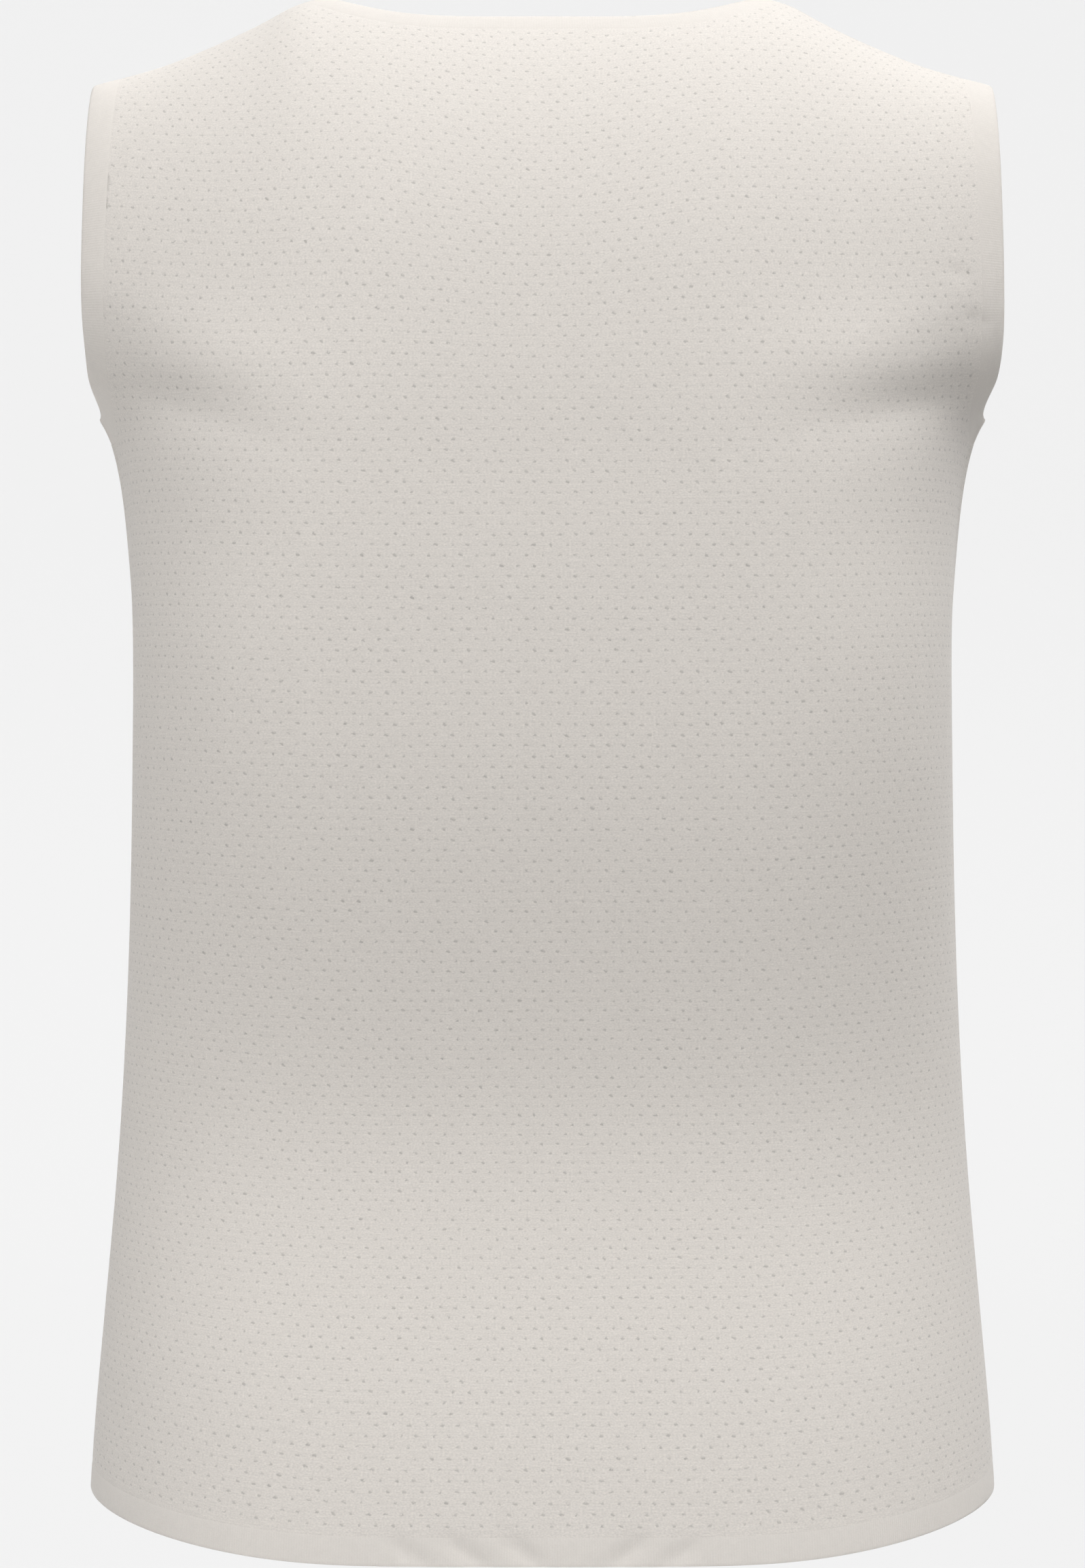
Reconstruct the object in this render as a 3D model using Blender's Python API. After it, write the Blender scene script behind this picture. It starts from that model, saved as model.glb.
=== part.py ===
"""Base layer singlet: a sleeveless knitted top, hollow and filled out as it is worn.

The skin is one smooth surface worked out from a table of level sections. It runs from the
hem up the back, rolls over the shoulder line as a quarter ellipse and comes down the front.
Two panels, a neck binding, two armhole bindings and a hem band are cut from it, each a wall
of its own, with a small gap at every seam.

Metres, +Z up. The origin lies midway between the high points of the shoulders, the back
panel faces +Y and the front panel faces -Y.
"""

import math

import bpy
import numpy as np

# Heights, from the high point of the shoulder.
HEM_HEIGHT = -0.6416
UNDERARM_HEIGHT = -0.1950

# Widths of the strips that finish the edges.
NECK_BINDING_WIDTH = 0.0095
ARMHOLE_BINDING_WIDTH = 0.0125
HEM_BAND_WIDTH = 0.0110

# Cloth walls and seams.
PANEL_WALL = 0.0012
BINDING_WALL = 0.0018
HEM_BAND_WALL = 0.0016
SEAM_GAP = 0.0004

# The armhole seam runs where the skin is this far from the middle.
UNDERARM_HALF_WIDTH = 0.1835
SHOULDER_HALF_WIDTH = 0.1790
ARMHOLE_SPREAD = 1.5

# The neck seam is half an ellipse over the back and half an ellipse over the front. Its
# reach down each face is an angle of the roll over the shoulder line.
NECK_HALF_WIDTH = 0.1030
NECK_BACK_REACH = math.radians(29.5)
NECK_FRONT_REACH = math.radians(64.0)
NECK_BACK_SQUARENESS = 3.6
NECK_FRONT_SQUARENESS = 2.2

# The shoulder seam lies this far forward of the shoulder line.
SHOULDER_SEAM_REACH = math.radians(5.0)

# The courses of the knit rise towards the side with this power of the way across.
RISE_POWER = 1.5

# How softly the flat middle of a section turns into its round side.
TURN_SOFTNESS = 0.036
SLANT_SOFTNESS = 0.08

SECTION_COLUMNS = (
    "height",
    "half_width",
    "back_depth",
    "back_flat",
    "front_depth",
    "front_flat",
    "slant",
    "side_rise",
)
# A section is flat across its middle for the flat half-widths, then turns to the side as an
# ellipse, and it climbs by its side rise. Its slant is the share of that turn that is
# straight, which only the open sections beside the armholes have.
SECTIONS = (
    (HEM_HEIGHT, 0.1911, 0.1270, 0.080, 0.1250, 0.060, 0.00, 0.0115),
    (-0.612, 0.1893, 0.1212, 0.080, 0.1245, 0.060, 0.00, 0.0098),
    (-0.582, 0.1869, 0.1145, 0.082, 0.1235, 0.060, 0.00, 0.0080),
    (-0.542, 0.1835, 0.1045, 0.082, 0.1215, 0.060, 0.00, 0.0062),
    (-0.502, 0.1802, 0.0962, 0.080, 0.1190, 0.058, 0.00, 0.0052),
    (-0.467, 0.1779, 0.0938, 0.080, 0.1172, 0.056, 0.00, 0.0050),
    (-0.422, 0.1757, 0.0985, 0.080, 0.1165, 0.055, 0.00, 0.0050),
    (-0.372, 0.1742, 0.1065, 0.082, 0.1185, 0.055, 0.00, 0.0050),
    (-0.322, 0.1735, 0.1121, 0.085, 0.1244, 0.056, 0.00, 0.0050),
    (-0.275, 0.1739, 0.1133, 0.086, 0.1288, 0.058, 0.00, 0.0051),
    (-0.235, 0.1767, 0.1128, 0.086, 0.1276, 0.059, 0.01, 0.0055),
    (UNDERARM_HEIGHT, UNDERARM_HALF_WIDTH, 0.1107, 0.085, 0.1214, 0.061, 0.00, 0.0060),
    (-0.172, 0.1938, 0.1101, 0.085, 0.1174, 0.062, 0.19, 0.0056),
    (-0.148, 0.2137, 0.1098, 0.085, 0.1139, 0.064, 0.47, 0.0042),
    (-0.120, 0.2399, 0.1105, 0.084, 0.1110, 0.066, 0.73, 0.0031),
    (-0.090, 0.2510, 0.1114, 0.083, 0.1095, 0.068, 0.81, 0.0022),
    (-0.055, 0.2606, 0.1118, 0.081, 0.1093, 0.072, 0.86, 0.0013),
    (0.0025, 0.2606, 0.1100, 0.076, 0.1100, 0.076, 0.86, 0.0000),
)

# The shoulder line as seen from the back.
SHOULDER_LINE_COLUMNS = ("half_width", "height")
SHOULDER_LINE = (
    (0.000, 0.0025),
    (0.060, 0.0015),
    (0.092, -0.0008),
    (0.104, -0.0035),
    (0.115, -0.0092),
    (0.127, -0.0152),
    (0.148, -0.0243),
    (0.163, -0.0298),
    (0.183, -0.0352),
    (0.200, -0.0397),
    (0.250, -0.0500),
)

# Grid of each panel. Its rows lie closer together towards the underarm from both sides.
NECK_COLUMNS = 9
STRAP_COLUMNS = 6
BODY_ROWS = 16
YOKE_ROWS = 14
ROW_SPREAD = 1.35

BACK = 1
FRONT = -1
QUARTER_TURN = math.pi / 2
SAMPLES = 400
TANGENT_STEP = 0.0005
WALK_STEPS = 6

# Colours are linear RGBA.
PANEL_COLOR = (0.66, 0.62, 0.57, 1.0)
BINDING_COLOR = (0.70, 0.66, 0.60, 1.0)


def column(table, names, name):
    """One named column of a table, as an array."""
    return np.array([row[names.index(name)] for row in table])


def spline(xs, ys):
    """Natural cubic spline through (xs, ys): a function of x, which is held to their range."""
    count = len(xs)
    step = np.diff(xs)
    slope = np.diff(ys) / step
    rows = np.eye(count)
    bends = np.zeros(count)
    for i in range(1, count - 1):
        rows[i, i - 1 : i + 2] = step[i - 1], 2 * (step[i - 1] + step[i]), step[i]
        bends[i] = 6 * (slope[i] - slope[i - 1])
    bend = np.linalg.solve(rows, bends)

    def read(x):
        x = np.clip(np.asarray(x, float), xs[0], xs[-1])
        i = np.clip(np.searchsorted(xs, x) - 1, 0, count - 2)
        into = x - xs[i]
        left = xs[i + 1] - x
        return (
            ys[i] * left / step[i]
            + ys[i + 1] * into / step[i]
            + bend[i] * (left**3 / step[i] - left * step[i]) / 6
            + bend[i + 1] * (into**3 / step[i] - into * step[i]) / 6
        )

    return read


SECTION_HEIGHTS = column(SECTIONS, SECTION_COLUMNS, "height")
CROWN_HEIGHT = SECTION_HEIGHTS[-1]
SECTION = {
    name: spline(SECTION_HEIGHTS, column(SECTIONS, SECTION_COLUMNS, name))
    for name in SECTION_COLUMNS[1:]
}
SHOULDER_HEIGHT = spline(
    column(SHOULDER_LINE, SHOULDER_LINE_COLUMNS, "half_width"),
    column(SHOULDER_LINE, SHOULDER_LINE_COLUMNS, "height"),
)


def turn_length(x, flat):
    """How far x has come into the round side of a section, past its flat middle."""
    past = x - flat
    return (np.sqrt(past**2 + TURN_SOFTNESS**2) + past) / 2


def skin(station, angle):
    """Points of the skin.

    station runs from 0 at the hem to 1 at the underarm and to 2 on the shoulder line. angle
    runs from 0 at the centre back to half a turn at the centre front. Past station 2 the skin
    goes on down the other face.
    """
    station, angle = np.broadcast_arrays(np.asarray(station, float), np.asarray(angle, float))
    over = station > 2
    station = np.where(over, 4 - station, station)
    angle = np.where(over, math.pi - angle, angle)
    back = angle <= QUARTER_TURN
    roll = np.clip(station - 1, 0, 1) * QUARTER_TURN
    body_height = HEM_HEIGHT + (UNDERARM_HEIGHT - HEM_HEIGHT) * np.minimum(station, 1)
    rise = np.sin(roll)
    height = body_height + (CROWN_HEIGHT - UNDERARM_HEIGHT) * rise
    depth = np.where(back, SECTION["back_depth"](height), SECTION["front_depth"](height))
    flat = np.where(back, SECTION["back_flat"](height), SECTION["front_flat"](height))
    slant = SECTION["slant"](height)
    start = turn_length(0.0, flat)
    span = turn_length(SECTION["half_width"](height), flat) - start
    across = np.sin(angle)
    turned = start + across * span
    x = flat + turned - TURN_SOFTNESS**2 / (4 * turned)
    straight = across * np.abs(across) * (1 + SLANT_SOFTNESS) / (np.abs(across) + SLANT_SOFTNESS)
    y = depth * (np.cos(angle) * (1 - slant) + np.where(back, 1, -1) * slant * (1 - straight))
    z = height + rise**2 * (SHOULDER_HEIGHT(x) - CROWN_HEIGHT)
    z = z + SECTION["side_rise"](height) * np.abs(across) ** RISE_POWER
    return np.stack([x, y * np.cos(roll), z], -1)


def slopes(station, angle):
    """The skin's two tangents: along the station and along the angle."""
    up = skin(station + TANGENT_STEP, angle) - skin(station - TANGENT_STEP, angle)
    around = skin(station, angle + TANGENT_STEP) - skin(station, angle - TANGENT_STEP)
    return up / (2 * TANGENT_STEP), around / (2 * TANGENT_STEP)


def unit(vector):
    """Vectors at length one."""
    return vector / np.linalg.norm(vector, axis=-1, keepdims=True)


def normal(station, angle):
    """The skin's outward normal on the +X half."""
    up, around = slopes(station, angle)
    return unit(np.cross(up, around))


def walk(station, angle, direction, distance):
    """The station and angle that lie a distance away on the skin, in a direction."""
    for _ in range(WALK_STEPS):
        up, around = slopes(station, angle)
        tangents = np.stack([up, around], 1)
        flat_direction = tangents @ np.linalg.lstsq(tangents, direction, rcond=None)[0]
        step = unit(flat_direction) * distance / WALK_STEPS
        move = np.linalg.lstsq(tangents, step, rcond=None)[0]
        station = station + move[0]
        angle = angle + move[1]
    return station, angle


def armhole_half_width(station):
    """Distance of the armhole seam from the middle, at a station above the underarm."""
    rise = math.sin((station - 1) * QUARTER_TURN)
    spread = (1 - rise) ** ARMHOLE_SPREAD
    return SHOULDER_HALF_WIDTH + (UNDERARM_HALF_WIDTH - SHOULDER_HALF_WIDTH) * spread


def row_lengths(face, station):
    """Angles of a row from the centre of a face to its edge, and the length up to each."""
    edge = QUARTER_TURN
    angles = np.linspace(0, edge, SAMPLES)
    if face == FRONT:
        angles = math.pi - angles
    points = skin(station, angles)
    lengths = np.concatenate([[0], np.cumsum(np.linalg.norm(np.diff(points, axis=0), axis=1))])
    end = lengths[-1]
    if station > 1:
        end = np.interp(armhole_half_width(station), points[:, 0], lengths)
    return angles, lengths, end


def angle_at(face, station, share):
    """The angle at a share of the way from the centre of a face to its edge."""
    angles, lengths, end = row_lengths(face, station)
    return float(np.interp(share * end, lengths, angles))


def neck_curve(face, turns):
    """Half-width and station of the neck seam, at angles from the centre of a face."""
    reach, square = {
        BACK: (NECK_BACK_REACH, NECK_BACK_SQUARENESS),
        FRONT: (NECK_FRONT_REACH, NECK_FRONT_SQUARENESS),
    }[face]
    half_width = NECK_HALF_WIDTH * np.sin(turns) ** (2 / square)
    return half_width, 2 - reach * np.cos(turns) / QUARTER_TURN


def shoulder_point():
    """The turn of the front neck curve where the shoulder seam meets it."""
    return math.acos(SHOULDER_SEAM_REACH / NECK_FRONT_REACH)


def column_tops(face):
    """The share and the top station of each column of a panel, from its centre to its edge."""
    if face == BACK:
        turns = list(np.linspace(0, QUARTER_TURN, NECK_COLUMNS))
        curve = [neck_curve(BACK, turn) for turn in turns]
        half_width, station = neck_curve(FRONT, shoulder_point())
        curve.append((half_width, 4 - station))
        top = curve[-1][1]
    else:
        turns = np.linspace(0, shoulder_point(), NECK_COLUMNS + 1)
        curve = [neck_curve(FRONT, turn) for turn in turns]
        top = curve[-1][1]
    shares = []
    stations = []
    for half_width, station in curve:
        own_face = face if station <= 2 else -face
        own_station = min(station, 4 - station)
        angles, lengths, end = row_lengths(own_face, own_station)
        across = skin(own_station, angles)[:, 0]
        shares.append(float(np.interp(half_width, across, lengths)) / end)
        stations.append(float(station))
    for share in np.linspace(shares[-1], 1, STRAP_COLUMNS + 1)[1:]:
        shares.append(float(share))
        stations.append(float(top))
    return shares, stations


def panel_grid(face):
    """Stations and angles of a panel's points on the +X half: a row of arrays per height."""
    shares, tops = column_tops(face)
    first = HEM_BAND_WIDTH / (UNDERARM_HEIGHT - HEM_HEIGHT)
    rows = []
    for step in range(BODY_ROWS, -1, -1):
        station = 1 - (1 - first) * (step / BODY_ROWS) ** ROW_SPREAD
        rows.append([(station, angle_at(face, station, share)) for share in shares])
    for step in range(1, YOKE_ROWS + 1):
        part = (step / YOKE_ROWS) ** ROW_SPREAD
        stations = [1 + (top - 1) * part for top in tops]
        row = []
        for share, station in zip(shares, stations):
            own_face = face if station <= 2 else -face
            angle = angle_at(own_face, min(station, 4 - station), share)
            row.append((station, math.pi - angle if station > 2 else angle))
        rows.append(row)
    return np.array(rows)


def mirrored(points):
    """Points with their X turned round."""
    return points * np.array([-1.0, 1.0, 1.0])


def wall_object(name, outer, inner, closed, color):
    """A closed wall between two grids of points that face each other.

    With closed, the grid's rows are rings. Its first and last rows get a rim, and so do the
    ends of its rows where they are open.
    """
    rows, count = outer.shape[:2]
    points = np.concatenate([outer.reshape(-1, 3), inner.reshape(-1, 3)])
    other = rows * count
    faces = []
    for i in range(rows - 1):
        for j in range(count if closed else count - 1):
            k = (j + 1) % count
            a, b = i * count + j, i * count + k
            c, d = (i + 1) * count + k, (i + 1) * count + j
            faces.append((a, b, c, d))
            faces.append((d + other, c + other, b + other, a + other))
    for j in range(count if closed else count - 1):
        k = (j + 1) % count
        faces.append((j, j + other, k + other, k))
        a, b = (rows - 1) * count + j, (rows - 1) * count + k
        faces.append((a, b, b + other, a + other))
    if not closed:
        for i in range(rows - 1):
            a, b = i * count, (i + 1) * count
            faces.append((a, b, b + other, a + other))
            a, b = i * count + count - 1, (i + 1) * count + count - 1
            faces.append((a, a + other, b + other, b))
    return cloth_object(name, points, faces, color)


def cloth_object(name, points, faces, color):
    """An object with its own cloth material, its faces turned outwards."""
    mesh = bpy.data.meshes.new(name)
    mesh.from_pydata([tuple(map(float, p)) for p in points], [], faces)
    mesh.update()
    if signed_volume(mesh) < 0:
        mesh.flip_normals()
    mesh.shade_smooth()
    mesh.set_sharp_from_angle(angle=math.radians(50))
    material = bpy.data.materials.new(name + "_cloth")
    material.use_nodes = True
    shader = material.node_tree.nodes["Principled BSDF"]
    shader.inputs["Base Color"].default_value = color
    shader.inputs["Roughness"].default_value = 0.9
    shader.inputs["Metallic"].default_value = 0.0
    mesh.materials.append(material)
    made = bpy.data.objects.new(name, mesh)
    bpy.context.collection.objects.link(made)
    return made


def signed_volume(mesh):
    """Volume inside a mesh, negative where its faces point in."""
    mesh.calc_loop_triangles()
    points = np.array([vertex.co for vertex in mesh.vertices])
    corners = points[np.array([triangle.vertices for triangle in mesh.loop_triangles])]
    return float(np.einsum("ij,ij->i", corners[:, 0], np.cross(corners[:, 1], corners[:, 2])).sum())


def pull_back(points):
    """A panel's open edges drawn in by half a seam gap: its top, bottom and side."""
    points = points.copy()
    half_gap = SEAM_GAP / 2
    inside = points.copy()
    points[:, -1] += half_gap * unit(inside[:, -2] - inside[:, -1])
    points[0] += half_gap * unit(inside[1] - inside[0])
    points[-1] += half_gap * unit(inside[-2] - inside[-1])
    return points


def panel(name, grid):
    """A panel's wall, from its grid on the +X half and the mirror image of that."""
    station, angle = grid[..., 0], grid[..., 1]
    outward = normal(station, angle)
    outward[:, 0, 0] = 0
    outward = unit(outward)
    edge = pull_back(skin(station, angle))
    outer = edge + outward * PANEL_WALL / 2
    inner = edge - outward * PANEL_WALL / 2
    outer[:, 0, 0] = 0
    inner[:, 0, 0] = 0
    both = [np.concatenate([mirrored(side[:, :0:-1]), side], 1) for side in (outer, inner)]
    return wall_object(name, both[0], both[1], False, PANEL_COLOR)


def binding_section(width, wall):
    """Cross-section of a binding: (distance from the seam, height over the skin)."""
    half = wall / 2
    nose = width - half
    return (
        (SEAM_GAP / 2, half),
        (width / 2, half),
        (nose, half),
        (width, 0.0),
        (nose, -half),
        (width / 2, -half),
        (SEAM_GAP / 2, -half),
    )


def binding_strip(seam, run, side, width):
    """Grid of a binding: a row of section points for each seam point on the +X half.

    seam is a run of (station, angle) pairs and run is its direction at each. The opening
    lies to the left of the run seen from outside where side is 1, and to the right at -1.
    """
    strip = []
    for (station, angle), along in zip(seam, run):
        to_opening = side * unit(np.cross(along, normal(station, angle)))
        row = []
        for distance, height in binding_section(width, BINDING_WALL):
            place = walk(station, angle, to_opening, distance)
            row.append(skin(*place) + normal(*place) * height)
        strip.append(row)
    return np.array(strip)


def tube_object(name, strip, color):
    """A closed ring of closed cross-sections."""
    count, corners = strip.shape[:2]
    faces = []
    for i in range(count):
        k = (i + 1) % count
        for j in range(corners):
            m = (j + 1) % corners
            faces.append((i * corners + j, i * corners + m, k * corners + m, k * corners + j))
    return cloth_object(name, strip.reshape(-1, 3), faces, color)


def neck_binding(back, front):
    """The neck binding, on the panels' own top points."""
    back_seam = back[-1, : NECK_COLUMNS + 1]
    front_seam = front[-1, NECK_COLUMNS - 1 :: -1]
    front_seam = np.stack([4 - front_seam[:, 0], math.pi - front_seam[:, 1]], -1)
    seam = np.concatenate([back_seam, front_seam])
    run = np.gradient(skin(seam[:, 0], seam[:, 1]), axis=0)
    strip = binding_strip(seam, run, 1, NECK_BINDING_WIDTH)
    strip[0, :, 0] = 0
    strip[-1, :, 0] = 0
    ring = np.concatenate([strip, mirrored(strip[-2:0:-1])])
    return tube_object("neck_binding", ring, BINDING_COLOR)


def armhole_binding(name, back, front, side):
    """An armhole binding, on the panels' own edge points above the underarm."""
    up_back = back[BODY_ROWS:, -1]
    down_front = front[-2 : BODY_ROWS : -1, -1]
    down_front = np.stack([4 - down_front[:, 0], math.pi - down_front[:, 1]], -1)
    seam = np.concatenate([up_back, down_front])
    looped = np.concatenate([seam[-1:], seam, seam[:1]])
    points = skin(looped[:, 0], looped[:, 1])
    strip = binding_strip(seam, points[2:] - points[:-2], -1, ARMHOLE_BINDING_WIDTH)
    if side < 0:
        strip = mirrored(strip)
    return tube_object(name, strip, BINDING_COLOR)


def hem_band(back, front):
    """The hem band: one ring under both panels, on their own bottom columns."""
    angles = np.concatenate([back[0, :, 1], front[0, -2::-1, 1]])
    top = back[0, 0, 0]
    rows = []
    for station in (top, top / 2, 0.0):
        outward = normal(station, angles)
        outward[0, 0] = 0
        outward[-1, 0] = 0
        rows.append((skin(station, angles), unit(outward)))
    points = np.array([row[0] for row in rows])
    outward = np.array([row[1] for row in rows])
    points[0] -= SEAM_GAP / 2 * unit(points[0] - points[1])
    outer = points + outward * HEM_BAND_WALL / 2
    inner = points - outward * HEM_BAND_WALL / 2
    rings = []
    for side in (outer, inner):
        side[:, 0, 0] = 0
        side[:, -1, 0] = 0
        rings.append(np.concatenate([side, mirrored(side[:, -2:0:-1])], 1))
    return wall_object("hem_band", rings[0], rings[1], True, BINDING_COLOR)


def build():
    """All six pieces of the singlet."""
    for made in list(bpy.data.objects):
        bpy.data.objects.remove(made)
    back = panel_grid(BACK)
    front = panel_grid(FRONT)
    panel("back_panel", back)
    panel("front_panel", front)
    neck_binding(back, front)
    armhole_binding("armhole_binding_left", back, front, 1)
    armhole_binding("armhole_binding_right", back, front, -1)
    hem_band(back, front)


build()
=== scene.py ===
"""Base layer singlet, dressed: two eyelet-knit panels, rib bindings and a rib hem band.

The cloth lies on the same skin as the solids. Each panel is knitted on it course by course,
with a real pit for every eyelet, and each binding has its own ribs.
"""

import math
import bpy
import numpy as np
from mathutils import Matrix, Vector, kdtree
from mathutils.geometry import delaunay_2d_cdt


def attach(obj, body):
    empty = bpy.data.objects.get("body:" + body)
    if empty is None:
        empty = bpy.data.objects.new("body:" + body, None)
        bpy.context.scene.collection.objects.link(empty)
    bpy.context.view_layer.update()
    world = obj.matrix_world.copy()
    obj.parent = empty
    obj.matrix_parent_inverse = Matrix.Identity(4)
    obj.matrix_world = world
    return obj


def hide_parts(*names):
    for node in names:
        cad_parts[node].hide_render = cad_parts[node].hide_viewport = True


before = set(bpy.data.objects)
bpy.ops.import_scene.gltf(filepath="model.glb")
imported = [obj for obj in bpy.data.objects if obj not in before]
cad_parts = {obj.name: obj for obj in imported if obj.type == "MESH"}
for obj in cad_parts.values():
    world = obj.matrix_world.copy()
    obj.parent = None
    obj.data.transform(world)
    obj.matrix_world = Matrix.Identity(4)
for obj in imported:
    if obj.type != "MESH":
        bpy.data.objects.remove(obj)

bl_info = {
    "name": "Base layer singlet",
    "version": (1, 0, 0),
    "blender": (4, 5, 0),
    "location": "View3D > Sidebar > Singlet",
    "description": "Makes the cloth of a sleeveless knitted top, and the stage it is shown on",
    "category": "Object",
}

# The skin: heights from the high point of the shoulder, in metres.
HEM_HEIGHT = -0.6416
UNDERARM_HEIGHT = -0.1950
NECK_BINDING_WIDTH = 0.0102
ARMHOLE_BINDING_WIDTH = 0.0125
HEM_BAND_WIDTH = 0.0110
UNDERARM_HALF_WIDTH = 0.1835
SHOULDER_HALF_WIDTH = 0.1790
ARMHOLE_SPREAD = 1.5
NECK_HALF_WIDTH = 0.1030
NECK_BACK_REACH = math.radians(29.5)
NECK_FRONT_REACH = math.radians(64.0)
NECK_BACK_SQUARENESS = 3.6
NECK_FRONT_SQUARENESS = 2.2
SHOULDER_SEAM_REACH = math.radians(5.0)
RISE_POWER = 1.5
TURN_SOFTNESS = 0.036
SLANT_SOFTNESS = 0.08

# Half-widths and depths of the level sections, how wide each face is flat, how far its sides
# slant in to the shoulders, and how far the section climbs at its sides.
SECTION_COLUMNS = (
    "height", "half_width", "back_depth", "back_flat", "front_depth", "front_flat", "slant",
    "side_rise",
)
SECTIONS = (
    (HEM_HEIGHT, 0.1911, 0.1270, 0.080, 0.1250, 0.060, 0.00, 0.0115),
    (-0.612, 0.1893, 0.1212, 0.080, 0.1245, 0.060, 0.00, 0.0098),
    (-0.582, 0.1869, 0.1145, 0.082, 0.1235, 0.060, 0.00, 0.0080),
    (-0.542, 0.1835, 0.1045, 0.082, 0.1215, 0.060, 0.00, 0.0062),
    (-0.502, 0.1802, 0.0962, 0.080, 0.1190, 0.058, 0.00, 0.0052),
    (-0.467, 0.1779, 0.0938, 0.080, 0.1172, 0.056, 0.00, 0.0050),
    (-0.422, 0.1757, 0.0985, 0.080, 0.1165, 0.055, 0.00, 0.0050),
    (-0.372, 0.1742, 0.1065, 0.082, 0.1185, 0.055, 0.00, 0.0050),
    (-0.322, 0.1735, 0.1121, 0.085, 0.1244, 0.056, 0.00, 0.0050),
    (-0.275, 0.1739, 0.1133, 0.086, 0.1288, 0.058, 0.00, 0.0051),
    (-0.235, 0.1767, 0.1128, 0.086, 0.1276, 0.059, 0.01, 0.0055),
    (UNDERARM_HEIGHT, UNDERARM_HALF_WIDTH, 0.1107, 0.085, 0.1214, 0.061, 0.00, 0.0060),
    (-0.172, 0.1938, 0.1101, 0.085, 0.1174, 0.062, 0.19, 0.0056),
    (-0.148, 0.2137, 0.1098, 0.085, 0.1139, 0.064, 0.47, 0.0042),
    (-0.120, 0.2399, 0.1105, 0.084, 0.1110, 0.066, 0.73, 0.0031),
    (-0.090, 0.2510, 0.1114, 0.083, 0.1095, 0.068, 0.81, 0.0022),
    (-0.055, 0.2606, 0.1118, 0.081, 0.1093, 0.072, 0.86, 0.0013),
    (0.0025, 0.2606, 0.1100, 0.076, 0.1100, 0.076, 0.86, 0.0000),
)
SHOULDER_LINE_COLUMNS = ("half_width", "height")
SHOULDER_LINE = (
    (0.000, 0.0025),
    (0.060, 0.0015),
    (0.092, -0.0008),
    (0.104, -0.0035),
    (0.115, -0.0092),
    (0.127, -0.0152),
    (0.148, -0.0243),
    (0.163, -0.0298),
    (0.183, -0.0352),
    (0.200, -0.0397),
    (0.250, -0.0500),
)

# The knit: how far apart its eyelets lie at a height, across a course and from course to
# course. Every other course is set off by half a column.
PITCH_COLUMNS = ("height", "across", "up")
PITCHES = (
    (-0.640, 0.00700, 0.00435),
    (-0.625, 0.00689, 0.00435),
    (-0.588, 0.00659, 0.00435),
    (-0.563, 0.00640, 0.00420),
    (-0.537, 0.00621, 0.00397),
    (-0.510, 0.00608, 0.00382),
    (-0.483, 0.00602, 0.00380),
    (-0.456, 0.00611, 0.00384),
    (-0.401, 0.00631, 0.00405),
    (-0.347, 0.00649, 0.00417),
    (-0.293, 0.00650, 0.00419),
    (-0.212, 0.00646, 0.00419),
    (-0.157, 0.00630, 0.00417),
    (-0.108, 0.00615, 0.00406),
    (-0.060, 0.00604, 0.00402),
    (0.003, 0.00600, 0.00400),
)
# In the yoke the courses climb this much from the middle to beside it.
YOKE_LIFT = 0.011
YOKE_LIFT_HALF_WIDTH = 0.085
YOKE_LIFT_REACH = 0.130
# The knit's own plane, in which it is laid out flat.
COLUMN_WIDTH = 0.0063
COURSE_HEIGHT = 0.00415

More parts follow.
